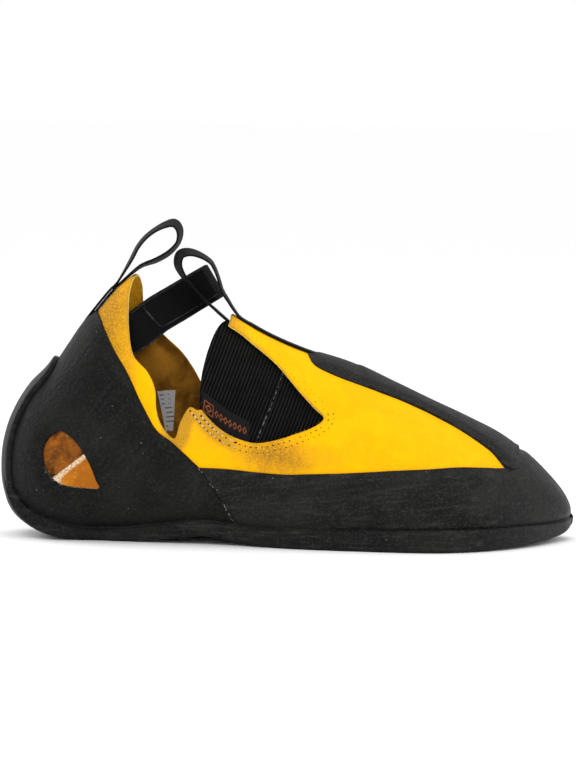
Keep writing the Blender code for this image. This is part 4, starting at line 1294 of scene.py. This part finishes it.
def heel_strip(start):
    """The strip up the back of the heel, sunk into the sole's body at its lower end."""
    half, high = HEEL_STRIP / 2, HEEL_STRIP_TOP
    side = [(1.30, -0.02), (1.16, 0.04), *HEEL_STRIP_SIDE]
    line = smooth([(half * w, STACK + high * h) for w, h in side], 5)
    outline = np.vstack([line, [(0.0, STACK + high)], line[::-1] * (-1, 1)])

    def field(rows, turns, points):
        turned = np.column_stack([points[:, 1], np.full(len(points), FAR), points[:, 2]])
        front = (HEEL_STRIP_FRONT - HEEL_REST) * LENGTH - points[:, 0]
        return np.minimum(side_field(turned, outline, outline), front)

    corners, faces = with_field(*sheet_on_last(1.1 * MM), field)
    corners, faces = trimmed(corners, faces, 2, [0.1 * MM, 0.3 * MM, 0.7 * MM, 1.2 * MM])
    rows, turns, edge = corners.T[:3]
    sink = ramp(base_points(rows, turns)[:, 2], 10 * MM, 24 * MM)
    depth = SEAT - 0.1 * MM + (SOLE_BACK + 0.1 * MM) * rounding(edge, 1.1 * MM)
    depth = np.where(edge < 0.05 * MM, SEAT - 0.1 * MM, depth) - (1 - sink) * 0.25 * MM
    return skin(rows, turns, depth), faces + start


def closed_sheet(name, grid_rows, grid_turns, top, bottom, look, fields=None, uv=None):
    """A thin closed piece over a grid of places on the last, with a rounded rim."""
    n, m = grid_rows.shape
    flat_rows, flat_turns = grid_rows.ravel(), grid_turns.ravel()
    points = np.vstack([skin(flat_rows, flat_turns, np.ravel(d)) for d in (top, bottom)])
    mesh_faces = np.vstack(both_faces(grid_faces(n, m), n * m))
    doubled = {title: np.tile(np.ravel(values), 2) for title, values in (fields or {}).items()}
    uv = None if uv is None else np.tile(uv.reshape(-1, 2), (2, 1))
    made = add_mesh(name, points, mesh_faces, [look], fields=doubled, uv=uv)
    made.data.set_sharp_from_angle(angle=SHEET_SHARP)
    return made


def outward(rows, turns):
    """True if a grid's first triangle faces away from the last."""
    corner = base_points([rows[0, 0], rows[1, 0], rows[1, 1]], [turns[0, 0], turns[1, 0], turns[1, 1]])
    face = np.cross(corner[1] - corner[0], corner[2] - corner[0])
    return face @ normals(rows[:1, 0], turns[:1, 0])[0] > 0


RIB = 1.5 * MM  # pitch of the gore's ribs
RIB_HEIGHT = 0.34 * MM
PLY = 0.30 * MM  # step of the fold in the gore
RIB_LEAN = math.radians(21)
FOLD = ((0.4325, 0.40), (0.448, 0.545), (0.466, 0.69), (0.484, 0.86))  # edge of the gore's upper ply


def gore_piece(name, inner, look):
    """Elastic panel: fine ribs along its free edge, and a second ply in front of a fold."""
    lines = net_lines(GORE_PANEL, (inner, inner, inner), 40)
    grid = np.stack([smooth(np.stack([line[i] for line in lines]), 32) for i in range(len(lines[0]))])
    rows, turns = grid[..., 0], grid[..., 1]
    if not outward(rows, turns):
        rows, turns = rows[:, ::-1], turns[:, ::-1]
    places = base_points(rows.ravel(), turns.ravel())
    line = base_points(rows[0], turns[0])
    side = line[:, (0, 2)]
    away = side_from(places[:, (0, 2)], side)
    ribs = places[:, 0] * math.cos(RIB_LEAN) - places[:, 2] * math.sin(RIB_LEAN)
    fold = side_from(places[:, (0, 2)], smooth(side_places(FOLD), 8))
    rib = np.sin(math.pi * ribs / RIB) ** 2
    ply = PLY * ramp(fold, -0.15 * MM, 0.15 * MM)
    border = np.minimum(away, 3 * MM)
    depth = -(WALL + GAP) - 0.48 * MM + RIB_HEIGHT * rib * ramp(border, 0.2 * MM, 1.2 * MM)
    depth = depth - ply + 0.25 * MM * waves(places, 0.022, 11) * ramp(border, 0, 3 * MM)
    bottom = -(WALL + GAP + GORE) - ply * 0.3 - 0.12 * MM * rib + 0.2 * MM * waves(places, 0.022, 11)
    thin = 0.25 * MM * (1 - rounding(border, 0.8 * MM))
    shape = rows.shape
    across = run_length(places.reshape(*shape, 3), 1)
    uv = np.stack([ribs.reshape(shape), across], axis=-1)
    fields = {"rib": rib, "away": away, "fold": fold}
    return closed_sheet(name, rows, turns, depth - thin, bottom + thin, look, fields, uv)


def side_from(points, line):
    """How far in front of a line of the side view places are, negative behind it."""
    nearest, sign = np.full(len(points), NOWHERE), np.ones(len(points))
    line = np.vstack([line[0] * 21 - line[1] * 20, line, line[-1] * 21 - line[-2] * 20])
    for a, b in zip(line, line[1:]):
        ab = b - a
        t = np.clip((points - a) @ ab / max(ab @ ab, 1e-16), 0, 1)
        gap = points - a - t[:, None] * ab
        far = np.hypot(*gap.T)
        turn = ab[0] * gap[:, 1] - ab[1] * gap[:, 0]
        if line[-1][1] < line[0][1]:
            turn = -turn
        closer = far < nearest
        nearest = np.where(closer, far, nearest)
        sign = np.where(closer, np.where(turn < 0, 1, -1), sign)
    return nearest * sign


INSOLE_ROWS = (3.0, TOE - 2.2)  # rows of the last between which the insole lies


def insole_piece(look):
    """The board inside: a thin sheet with a soft edge."""
    rows = even_rows(*INSOLE_ROWS, 1.6 * MM)
    turns = np.linspace(-0.5, 0.5, 61)
    grid_rows, grid_turns = np.meshgrid(rows, turns, indexing="ij")
    bend = np.sign(grid_turns) * np.abs(grid_turns * 2) ** 1.7 / 2
    grid_turns = 4 + bend
    if not outward(grid_rows, grid_turns):
        grid_turns = grid_turns[:, ::-1]
    places = base_points(grid_rows.ravel(), grid_turns.ravel())
    edge = (0.5 - np.abs(bend).ravel()) * 30 * MM
    top = -(WALL + GAP) - 0.2 * MM * (1 - rounding(edge, 1 * MM))
    dents = 0.25 * MM * waves(places, 0.03, 13)
    bottom = -(WALL + GAP + INSOLE) + 0.9 * MM * (1 - rounding(edge, 2.5 * MM)) + dents
    return closed_sheet("insole_board", grid_rows, grid_turns, top, bottom, look, {"edge": edge})


# Tapes


def tape(name, places, width, thickness, look, round_end=0.0):
    """A flat tape with rounded selvedges. places: x, y, z and the direction of its width."""
    places = np.asarray(places, float)
    centre, across = places[:, :3], places[:, 3:6]
    forward = unit(np.gradient(centre, axis=0))
    across = unit(across - forward * (across * forward).sum(1)[:, None])
    up = np.cross(forward, across)
    t = np.linspace(0, 2 * math.pi, 25)[:-1] + math.pi / 24
    a = np.sign(np.cos(t)) * np.abs(np.cos(t)) ** 0.35 * width / 2
    b = np.sign(np.sin(t)) * np.abs(np.sin(t)) ** 0.45 * thickness / 2
    travel = run_length(centre)
    share = np.ones(len(centre)) if not round_end else np.maximum(rounding(travel, round_end), 0.75)
    wide = across[:, None] * a[None, :, None] * share[:, None, None]
    rings = centre[:, None] + wide + up[:, None] * b[None, :, None]
    n, m = rings.shape[:2]
    uv = np.stack([np.tile(a, (n, 1)), np.tile(travel[:, None], (1, m))], axis=-1).reshape(-1, 2)
    i, k = np.meshgrid(np.arange(n - 1), np.arange(m), indexing="ij")
    p, q = (i * m + k).ravel(), (i * m + (k + 1) % m).ravel()
    faces = np.column_stack([p, q, q + m, p + m]).tolist()
    faces += [list(range(m))[::-1], list(range((n - 1) * m, n * m))]
    return add_mesh(name, rings.reshape(-1, 3), faces, [look], uv=uv)


TAPE_STEPS = 14


def loop_places(start, end, tip, reach, route):
    """A pull loop: sewn strand, free part measured from tip, sewn strand."""
    free = []
    for back, up, out, turn in route:
        free.append((tip[0] - back * reach, tip[1] - out * reach, tip[2] + up * reach, turn))
    knots = np.array([(*p, 0) for p in start] + free + [(*p, 0) for p in end])
    coarse = smooth(knots, 2)
    run = smooth(coarse, TAPE_STEPS // 2)
    ahead = unit(np.gradient(run[:, :3], axis=0))
    places = []
    for (x, y, z, turn), way in zip(run, ahead):
        across = Matrix.Rotation(math.radians(turn), 3, Vector(way)) @ Vector((0, 1, 0))
        places.append((x, y, z, *across))
    return places


def on_ridge(shares, depth):
    """Places on the last's ridge at shares of the length."""
    rows = row_at(shares)
    return skin(rows, np.full(len(rows), 2.0), depth)


def heel_loop_piece(look):
    on_leather, on_top = 0.05 * MM + WEBBING / 2, 0.15 * MM + WEBBING * 1.5
    outer, inner = on_ridge(HEEL_LOOP_SEWN, on_top), on_ridge(HEEL_LOOP_SEWN, on_leather)
    tip = on_ridge([HEEL_LOOP_TIP], on_leather)[0]
    places = loop_places(outer, inner[::-1], tip, HEEL_LOOP, HEEL_LOOP_ROUTE)
    return tape("heel_pull_loop", places, WEBBING_WIDTH, WEBBING, look)


def front_loop_piece(look):
    tail = on_ridge(FRONT_LOOP_TAIL, WEBBING / 2)
    hidden = on_ridge(FRONT_LOOP_HIDDEN, -(WALL + GAP + GORE + GAP + WEBBING / 2))
    places = loop_places(tail, hidden, on_ridge([FRONT_LOOP_TIP], 0.0)[0], FRONT_LOOP, FRONT_LOOP_ROUTE)
    return tape("front_pull_loop", places, WEBBING_WIDTH, WEBBING, look)


def strap_places():
    """The ankle strap's run from the outer wall round to the inner wall."""
    x, z = side_places([STRAP_SEWN[0]])[0]
    forward = np.array((math.cos(STRAP_SLOPE), 0, math.sin(STRAP_SLOPE)))
    sewn = {}
    for inner in (False, True):
        sewn[inner] = []
        for share, level in STRAP_SEWN:
            row = row_at([share])
            turn = turn_at(row, level, inner)
            inside = skin(row, turn, -(WALL + GAP + STRAP_EASE + STRAP / 2))[0]
            across = np.cross(forward, inside - base_points(row, turn)[0])
            across /= np.linalg.norm(across)
            sewn[inner].append((*inside, *(across if across[2] > 0 else -across)))
    free = []
    for along, side, lean in STRAP_ROUTE:
        centre = np.array((x, side * HEEL_WIDTH, z)) + forward * along * STRAP_REACH
        across = np.array((-forward[2], lean, forward[0]))
        free.append((*centre, *(across / np.linalg.norm(across))))
    return smooth(smooth([*sewn[False], *free, *sewn[True][::-1]], 2), 8)


STRAP_LAYER_FROM = 0.0195  # x where the second layer starts
STRAP_FOLD = 2.8 * MM  # length of the hatched end before the strap turns back
STRAP_LAYER_WIDTH = 14.2 * MM
STRAP_LAYER_LIFT = 0.28 * MM  # above the strap's face
STRAP_LAYER_SHORT = 6  # places along the strap left free before its fold
STRAP_LAYER_SHIFT = 0.9 * MM


def strap_layer(places):
    """The strap's second layer: a narrower band on its outer face, with a rounded end."""
    last = int(places[:, 0].argmax()) - STRAP_LAYER_SHORT
    first = int(np.argmax(places[:, 0] > STRAP_LAYER_FROM))
    places = places[first:last].copy()
    forward = unit(np.gradient(places[:, :3], axis=0))
    across = unit(places[:, 3:6])
    out = np.cross(forward, across)
    out *= np.sign(-out[:, 1:2] + 1e-9)
    places[:, :3] += out * (STRAP / 2 + STRAP_LAYER_LIFT) + across * STRAP_LAYER_SHIFT
    return places


def travel_to_fold(places):
    """How far along a tape its folded end begins."""
    travel = run_length(places[:, :3])
    return travel[int(np.argmax(places[:, 0] > places[:, 0].max() - STRAP_FOLD))]


def label_piece(name, corners, inner, depth, look, thick=0.35 * MM, size=(24, 10)):
    """A sewn-on label: a thin curved sheet between four places given as shares and levels."""
    table = np.array(corners, float)
    rows = row_at(table[:, 0])
    spots = np.column_stack([rows, turn_at(rows, table[:, 1], inner)])
    u, v = np.linspace(0, 1, size[0] + 1), np.linspace(0, 1, size[1] + 1)
    low = spots[0] + (spots[1] - spots[0]) * u[:, None]
    high = spots[3] + (spots[2] - spots[3]) * u[:, None]
    grid = low[:, None] * (1 - v)[None, :, None] + high[:, None] * v[None, :, None]
    rows, turns = grid[..., 0], grid[..., 1]
    places = base_points(rows.ravel(), turns.ravel()).reshape(*rows.shape, 3)
    uv = np.stack([run_length(places), run_length(places, 1)], axis=-1)
    if not outward(rows, turns):
        rows, turns, uv = rows[:, ::-1], turns[:, ::-1], uv[:, ::-1]
    flat = base_points(rows.ravel(), turns.ravel())
    top = depth + 0.12 * MM * waves(flat, 0.011, 17) + (leather_relief(flat) if inner else 0)
    return closed_sheet(name, rows, turns, top, top - thick, look, None, uv)


# What repeats: stitches, their holes, fibres and specks, along paths on the shoe.


def path_mesh(name, places, ways):
    """A run of straight pieces through places, with the directions out of the surface there."""
    mesh = bpy.data.meshes.new(name)
    mesh.from_pydata(places.tolist(), [(i, i + 1) for i in range(len(places) - 1)], [])
    out = mesh.attributes.new("out", "FLOAT_VECTOR", "POINT")
    out.data.foreach_set("vector", ways.ravel().astype(np.float32))
    return linked(name, mesh)


FAR_END = 10.0  # longer than any path
ROW_INPUTS = (
    ("Pitch", 0.002), ("Start", 0.0), ("Long", 0.001), ("Wide", 0.0005), ("High", 0.0003),
    ("Uneven", 0.2), ("Tilt", 0.0), ("Left Out", 0.0), ("Scatter", 0.0),
)


def row_tree(shape):
    """Geometry Nodes that set one small shape again and again along a path."""
    tree = bpy.data.node_groups.new("row_of_" + shape, "GeometryNodeTree")
    face = tree.interface
    face.new_socket("Path", in_out="INPUT", socket_type="NodeSocketGeometry")
    for title, value in ROW_INPUTS:
        face.new_socket(title, in_out="INPUT", socket_type="NodeSocketFloat").default_value = value
    face.new_socket("Seed", in_out="INPUT", socket_type="NodeSocketInt").default_value = 1
    face.new_socket("Material", in_out="INPUT", socket_type="NodeSocketMaterial")
    face.new_socket("Geometry", in_out="OUTPUT", socket_type="NodeSocketGeometry")

    def node(kind, inputs=(), **settings):
        made = tree.nodes.new(kind)
        for key, value in settings.items():
            setattr(made, key, value)
        for key, value in dict(inputs).items():
            socket = made.inputs[key]
            if isinstance(value, bpy.types.NodeSocket):
                tree.links.new(value, socket)
            else:
                socket.default_value = value
        return made

    def usable(sockets, name=None):
        return next(s for s in sockets if s.enabled and name in (None, s.name))

    def either_way(reach):
        """A random vector, each part of it up to reach either way."""
        most = node("ShaderNodeCombineXYZ", {0: reach, 1: reach, 2: reach}).outputs[0]
        least = node("ShaderNodeVectorMath", {0: most, "Scale": -1.0}, operation="SCALE").outputs[0]
        sockets = {"Min": least, "Max": most, "Seed": given["Seed"]}
        return node("FunctionNodeRandomValue", sockets, data_type="FLOAT_VECTOR").outputs[0]

    def random(kind, **values):
        made = node("FunctionNodeRandomValue", data_type=kind)
        for key, value in {**values, "Seed": given["Seed"]}.items():
            tree.links.new(value, usable(made.inputs, key))
        return usable(made.outputs)

    given = node("NodeGroupInput").outputs
    curve = node("GeometryNodeMeshToCurve", {0: given["Path"]})
    run = node("GeometryNodeTrimCurve", {"Curve": curve.outputs[0]}, mode="LENGTH")
    tree.links.new(given["Start"], usable(run.inputs, "Start"))
    usable(run.inputs, "End").default_value = FAR_END
    paced = {"Curve": run.outputs[0], "Length": given["Pitch"]}
    even = node("GeometryNodeResampleCurve", paced, mode="LENGTH")
    out = node("GeometryNodeInputNamedAttribute", {"Name": "out"}, data_type="FLOAT_VECTOR").outputs[0]
    along = node("GeometryNodeInputTangent").outputs[0]
    if shape == "fibres":
        sizes = {"Vertices": 3, "Radius Top": 0.0, "Radius Bottom": 1.0, "Depth": 1.0}
        unit_shape = node("GeometryNodeMeshCone", sizes)
    else:
        unit_shape = node("GeometryNodeMeshUVSphere", {"Segments": 8, "Rings": 6, "Radius": 0.5})
    lying = node("FunctionNodeAlignRotationToVector", {"Vector": along}, axis="X").outputs[0]
    upright = {"Rotation": lying, "Vector": out}
    facing = node("FunctionNodeAlignRotationToVector", upright, axis="Z", pivot_axis="X")
    turned = node("FunctionNodeEulerToRotation", {0: either_way(given["Tilt"])}).outputs[0]
    both = {0: facing.outputs[0], 1: turned}
    rotation = node("FunctionNodeRotateRotation", both, rotation_space="LOCAL").outputs[0]
    least = node("ShaderNodeMath", {0: 1.0, 1: given["Uneven"]}, operation="SUBTRACT").outputs[0]
    most = node("ShaderNodeMath", {0: 1.0, 1: given["Uneven"]}, operation="ADD").outputs[0]
    grow = random("FLOAT", Min=least, Max=most)
    size = node("ShaderNodeCombineXYZ", {0: given["Long"], 1: given["Wide"], 2: given["High"]}).outputs[0]
    scaled = node("ShaderNodeVectorMath", {0: size, "Scale": grow}, operation="SCALE")
    offset = either_way(given["Scatter"])
    moved = node("GeometryNodeSetPosition", {"Geometry": even.outputs[0], "Offset": offset})
    dropped = random("BOOLEAN", Probability=given["Left Out"])
    kept = node("GeometryNodeInstanceOnPoints", {
        "Points": moved.outputs[0],
        "Instance": unit_shape.outputs[0],
        "Rotation": rotation,
        "Scale": scaled.outputs[0],
        "Selection": node("FunctionNodeBooleanMath", {0: dropped}, operation="NOT").outputs[0],
    })
    real = node("GeometryNodeRealizeInstances", {0: kept.outputs[0]})
    smooth_shade = node("GeometryNodeSetShadeSmooth", {0: real.outputs[0]})
    coating = {"Geometry": smooth_shade.outputs[0], "Material": given["Material"]}
    coated = node("GeometryNodeSetMaterial", coating)
    end = node("NodeGroupOutput")
    tree.links.new(coated.outputs[0], end.inputs[0])
    return tree


TREES = {}


def row_of(shape, name, line, slot, look, **sizes):
    """Small shapes along a path, as one plain mesh that rides on the shoe."""
    if shape not in TREES:
        TREES[shape] = row_tree(shape)
    tree = TREES[shape]
    path = path_mesh(name + "_path", *line)
    modifier = path.modifiers.new("row", "NODES")
    modifier.node_group = tree
    names = {each.name: each.identifier for each in tree.interface.items_tree if each.in_out == "INPUT"}
    modifier[names["Material"]] = look
    for key, value in sizes.items():
        modifier[names[key.replace("_", " ").title()]] = value
    bpy.context.view_layer.update()
    mesh = bpy.data.meshes.new_from_object(path.evaluated_get(bpy.context.evaluated_depsgraph_get()))
    bpy.data.objects.remove(path, do_unlink=True)
    mesh.name = name
    return place(linked(name, mesh), slot)


def beside_opening(inner, offset, first, last):
    """A path on the leather round a gore's opening, a distance outside its edge."""
    table = GORE_OPENING[1:] if inner else GORE_OPENING
    lower, upper = net_lines(table, (inner, inner), 10)
    line = np.vstack([lower, upper[::-1]])
    places = base_points(*line.T)
    travel = run_length(places)
    even = np.arange(0, travel[-1], 0.6 * MM)
    rows, turns = np.interp(even, travel, line[:, 0]), np.interp(even, travel, line[:, 1])
    places = base_points(rows, turns)
    forward = np.gradient(places, axis=0)
    side = np.cross(forward, normals(rows, turns))
    centre = places.mean(0)
    side *= np.sign(((places - centre) * side).sum(1)).mean()
    kernel = np.ones(9) / 9
    padded = np.vstack([np.repeat(side[:1], 4, axis=0), side, np.repeat(side[-1:], 4, axis=0)])
    side = np.column_stack([np.convolve(padded[:, k], kernel, "valid") for k in range(3)])
    rows, turns = slide(rows, turns, unit(side) * offset)
    wanted = slice(int(first * len(rows)), int(last * len(rows)))
    rows, turns = rows[wanted], turns[wanted]
    on_leather = -collar_field(rows, turns, base_points(rows, turns)) > 1.3 * MM
    rows, turns = rows[on_leather], turns[on_leather]
    points = skin(rows, turns, leather_relief(base_points(rows, turns)))
    return points, normals(rows, turns)


def on_surface(places, inner, depth):
    """A path through shares and levels of one side, at a depth outside the leather."""
    places = np.asarray(places, float)
    rows = row_at(places[:, 0])
    line = smooth(np.column_stack([rows, turn_at(rows, places[:, 1], inner)]), 10)
    return skin(*line.T, depth), normals(*line.T)


# The finishes and the pieces that use them.

YELLOW = (0.98, 0.485, 0.0)
STAINS = (
    # centre, radius, squash along each axis, strength
    ((0.0745, -0.040, 0.0415), 0.014, (0.62, 0.5, 1.1), 1.00),
    ((0.0860, -0.040, 0.0370), 0.007, (0.6, 0.5, 1.2), 0.45),
    ((0.0960, -0.040, 0.0400), 0.010, (0.7, 0.5, 1.3), 0.22),
    ((0.034, -0.029, 0.058), 0.006, (1.0, 0.6, 0.7), 0.50),
    ((0.0285, -0.029, 0.048), 0.007, (1.0, 0.6, 0.7), 0.45),
    ((0.052, -0.030, 0.048), 0.014, (0.5, 0.6, 1.8), 0.18),
    ((0.000, -0.014, 0.1040), 0.0290, (1.45, 0.4, 0.56), 1.00),
    ((0.0100, -0.024, 0.0800), 0.0090, (1.3, 0.5, 0.50), 0.35),
)
# Brighter where the collar's tip folds over
COLLAR_TIP = (((0.0105, 0.010, 0.1150), 0.0240, (1.1, 0.4, 0.75), 1.0),)

# Bright, deep and pale shades of each suede, and its stains
suede = suede_look(
    "suede_yellow", YELLOW, (0.93, 0.435, 0.0), (1.0, 0.58, 0.03), (0.30, 0.145, 0.020), STAINS, edges=True
)
nap = suede_look(
    "suede_inside", (0.56, 0.25, 0.026), (0.21, 0.085, 0.010), (0.66, 0.34, 0.06), (1.0, 0.50, 0.02),
    COLLAR_TIP,
)
heel_suede = suede_look("heel_suede", (0.34, 0.100, 0.010), (0.055, 0.021, 0.006), (0.68, 0.34, 0.08))
board = suede_look("insole_cloth", (0.20, 0.12, 0.04), (0.12, 0.065, 0.02), (0.30, 0.19, 0.07))
cut_edge, lap = cut_edge_look(), lap_look()
# Dark and light shades of each rubber, its roughness, grain, share of streaks and their turn
heel_rubber, rand_rubber, patch_rubber, sole_rubber = (
    rubber_look(name + "_rubber", *values)
    for name, *values in (
        ("heel_rand", (0.0013, 0.0013, 0.0012), (0.0070, 0.0069, 0.0064), 0.50, 1.9, 0.10, 0.9),
        ("front_rand", (0.0024, 0.0024, 0.0022), (0.0096, 0.0095, 0.0088), 0.46, 0.8, 0.30, 0.12),
        ("toe_patch", (0.0045, 0.0045, 0.0043), (0.0115, 0.0114, 0.0108), 0.54, 0.9, 0.20, 0.5),
        ("sole", (0.0026, 0.0026, 0.0025), (0.0090, 0.0090, 0.0085), 0.44, 0.7, 0.36, 0.0),
    )
)
# The webbing's light shade is the painted highlight on its threads' crowns.
webbing = woven_look("webbing", (0.0014, 0.0014, 0.0014), (0.060, 0.060, 0.058), 0.00125, 0.6)
elastic = gore_look()
glued = plain_look("glue_under_rubber", (0.012, 0.011, 0.010), 0.8)
black_thread = plain_look("black_thread", (0.012, 0.012, 0.012), 0.7)
pale_thread = plain_look("pale_thread", (0.62, 0.50, 0.26), 0.8)
# Dark brown painted shade for the stitch holes and pinholes, drawn as discs on the leather.
painted_hole_shade = plain_look("painted_hole_shade", (0.085, 0.035, 0.004), 0.9)
yellow_fibre = plain_look("suede_fibre", (0.95, 0.66, 0.05), 0.9)
glue_speck = plain_look("dust_speck", (0.40, 0.40, 0.38), 0.9)

SUNK = 0.2 * MM  # how far the rubber's inner side lies in the leather, out of sight
leather = upper_piece(suede.material, nap.material, cut_edge.material, heel_suede.material, glued.material)
place(leather, "suede", "upper")
LAP = 0.9 * MM
place(cover("heel_lap", heel_lap_field, heel_lap_field, -0.15 * MM, LAP, LAP, lap.material), "suede")
heel = cover("heel_rand_rubber", heel_rand_field, heel_edge_field, -SUNK, 1.3 * MM, GAP + RAND + SUNK,
             heel_rubber.material, rubber_relief)
place(heel, "rand_rubber", "heel_rand")
toe = cover("front_rand_rubber", front_rand_field, rand_top_field, -SUNK, 1.2 * MM, GAP + RAND + SUNK,
            rand_rubber.material, rubber_relief)
place(toe, "rand_rubber", "front_rand")
patch = cover("toe_patch_rubber", patch_field, patch_field, -SUNK, 1.0 * MM, GAP + PATCH + SUNK,
              patch_rubber.material, patch_relief, eased=0.5 * MM)
place(patch, "rand_rubber", "toe_patch")
place(outsole_piece(sole_rubber.material), "sole_rubber", "outsole")
place(insole_piece(board.material), "insole_board", "insole")
place(gore_piece("gore_lateral_elastic", False, elastic.material), "elastic", "gore_lateral")
place(gore_piece("gore_medial_elastic", True, elastic.material), "elastic", "gore_medial")
place(heel_loop_piece(webbing.material), "woven_tape", "heel_loop")
place(front_loop_piece(webbing.material), "woven_tape", "front_loop")
strap = np.array(strap_places())
strap_cloth = strap_look("strap_cloth", travel_to_fold(strap), STRAP_WIDTH / 2)
place(tape("ankle_strap_band", strap, STRAP_WIDTH, STRAP, strap_cloth.material), "woven_tape", "ankle_strap")
upper_layer = strap_layer(strap)
upper_cloth = strap_look("strap_layer_cloth", travel_to_fold(upper_layer), STRAP_LAYER_WIDTH / 2, 0.8 * MM)
layer = tape("ankle_strap_layer", upper_layer, STRAP_LAYER_WIDTH, 0.5 * MM, upper_cloth.material, 2 * MM)
place(layer, "woven_tape")

# Share and level of each label's corners
GORE_LABEL = ((0.3385, 0.470), (0.4235, 0.428), (0.4260, 0.545), (0.3425, 0.582))
SIZE_LABEL = ((0.272, 0.330), (0.286, 0.335), (0.289, 0.505), (0.256, 0.495))
label = label_piece("gore_label", GORE_LABEL, False, -(WALL + GAP) - 0.08 * MM, label_look().material)
place(label, "elastic")
size_cloth = size_label_look().material
place(label_piece("size_label", SIZE_LABEL, True, -WALL + 0.05 * MM, size_cloth, 0.5 * MM, (8, 12)), "suede")

HEEL_SEAM = ((0.163, 0.172), (0.166, 0.120), (0.182, 0.072), (0.196, 0.03))
HOLE_ROWS = (2.1 * MM, 4.5 * MM)  # how far each row of holes is from the opening over the gore
# Holes and stitches are close in the first part of each row. first, last: shares of the row.
PINHOLES = ((0.165, 0.46, 1.0, 0.0), (0.46, 0.90, 0.62, 0.3))  # first, last, size, share left out
STITCHED = (0.0, 0.175)
STITCH_PITCH = 2.3 * MM
for inner, side in ((False, "outer"), (True, "inner")):
    for number, offset in enumerate(HOLE_ROWS):
        for part, (first, last, large, missing) in enumerate(PINHOLES):
            line = beside_opening(inner, offset, first, last)
            # Pinholes: dark discs, the painted shade inside each hole.
            row_of(
                "holes", f"pinholes_{side}_{number}_{part}", line, "suede", painted_hole_shade.material,
                pitch=2.5 * MM, start=number * 1.2 * MM, long=0.8 * MM * large, wide=0.62 * MM * large,
                high=0.12 * MM, uneven=0.15, left_out=missing, scatter=0.06 * MM, seed=3 + number,
            )
        line = beside_opening(inner, offset - 0.3 * MM, *STITCHED)
        row_of(
            "threads", f"thick_stitches_{side}_{number}", line, "suede", pale_thread.material,
            pitch=STITCH_PITCH, start=number * STITCH_PITCH / 2, long=1.5 * MM, wide=0.75 * MM, high=0.6 * MM,
            uneven=0.4, tilt=0.6, left_out=0.1, seed=5,
        )
        # Dark discs at each stitch: the painted shade where the thread sinks into the leather.
        row_of(
            "holes", f"thick_stitch_holes_{side}_{number}", line, "suede", painted_hole_shade.material,
            pitch=STITCH_PITCH, start=(1 - number) * STITCH_PITCH / 2, long=1.0 * MM, wide=0.95 * MM,
            high=0.2 * MM, uneven=0.2, seed=6,
        )
    fringe = beside_opening(inner, 0.25 * MM, 0.0, 1.0)
    row_of(
        "fibres", f"opening_fibres_{side}", fringe, "suede", yellow_fibre.material, pitch=0.3 * MM,
        long=0.04 * MM, wide=0.04 * MM, high=0.8 * MM, uneven=0.5, tilt=1.1, scatter=0.2 * MM, seed=8,
    )
    row_of(
        "holes", f"heel_seam_{side}", on_surface(HEEL_SEAM, inner, RAND + 0.22 * MM), "rand_rubber",
        black_thread.material, pitch=0.7 * MM, long=1.4 * MM, wide=0.28 * MM, high=0.12 * MM, uneven=0.1,
        seed=9,
    )
    seam = on_surface(np.array(SEAM)[:4, (2, 3) if inner else (0, 1)], inner, RAND + 0.2 * MM)
    row_of(
        "holes", f"seam_glue_{side}", seam, "rand_rubber", glue_speck.material, pitch=0.8 * MM,
        long=0.6 * MM, wide=0.22 * MM, high=0.12 * MM, uneven=0.6, left_out=0.55, scatter=0.12 * MM,
        tilt=0.5, seed=10,
    )
    window_edge = on_surface(WINDOW[6:11], inner, RAND - 0.4 * MM)
    row_of(
        "fibres", f"window_fibres_{side}", window_edge, "rand_rubber", glue_speck.material, pitch=0.22 * MM,
        long=0.05 * MM, wide=0.05 * MM, high=0.9 * MM, uneven=0.6, tilt=1.2, left_out=0.3,
        scatter=0.25 * MM, seed=12,
    )


# The camera, light and floor.

DISTANCE, FRAME_HEIGHT = 1.6, 0.3456
AIM = Vector((0.0812, 0.0, 0.070))
ELEVATION, ROLL = math.radians(4.7), math.radians(1.05)

SENSOR = 36
camera = linked("camera", bpy.data.cameras.new("camera"))
camera.data.sensor_width = SENSOR
camera.data.lens = SENSOR * DISTANCE / FRAME_HEIGHT
eye = AIM + Vector((0, -math.cos(ELEVATION), math.sin(ELEVATION))) * DISTANCE
facing = (AIM - eye).to_track_quat("-Z", "Y").to_matrix().to_4x4()
camera.matrix_world = Matrix.Translation(eye) @ facing @ Matrix.Rotation(ROLL, 4, "Z")
bpy.context.scene.camera = camera


def light(name, kind, place_at, aim, watts):
    """A light at a place, aimed at another."""
    lamp = linked(name, bpy.data.lights.new(name, kind))
    lamp.data.energy = watts
    lamp.location = place_at
    lamp.rotation_euler = (Vector(aim) - lamp.location).to_track_quat("-Z", "Y").to_euler()
    return lamp.data


for name, place_at, size, watts in (
    ("key", (-0.35, -0.75, 0.85), 0.55, 2.6),
    ("top", (0.25, 0.15, 1.10), 0.80, 2.2),
    ("rim_back", (-0.75, 0.45, 0.45), 0.40, 2.4),
    ("rim_front", (0.95, -0.25, 0.35), 0.40, 1.8),
):
    lamp = light(name, "AREA", place_at, AIM, watts)
    lamp.shape, lamp.size = "SQUARE", size
lamp = light("inside", "SPOT", (0.12, -1.0, 0.30), (0.026, 0.02, 0.078), 13)
lamp.spot_size, lamp.spot_blend, lamp.shadow_soft_size = math.radians(5.5), 1.0, 0.06

world = bpy.data.worlds.new("studio")
world.use_nodes = True
world.node_tree.nodes["Background"].inputs["Color"].default_value = (1, 1, 1, 1)
world.node_tree.nodes["Background"].inputs["Strength"].default_value = 1.0
bpy.context.scene.world = world
bpy.context.scene.view_settings.view_transform = "Standard"

floor_look = Finish("floor", 0.9)
floor_look.colour(floor_look.mix(floor_look.noise(0.05), (0.985, 0.985, 0.985), (0.995, 0.995, 0.995)))
bpy.ops.mesh.primitive_plane_add(size=40)
floor = bpy.context.object
floor.name = "floor"
floor.data.materials.append(floor_look.material)
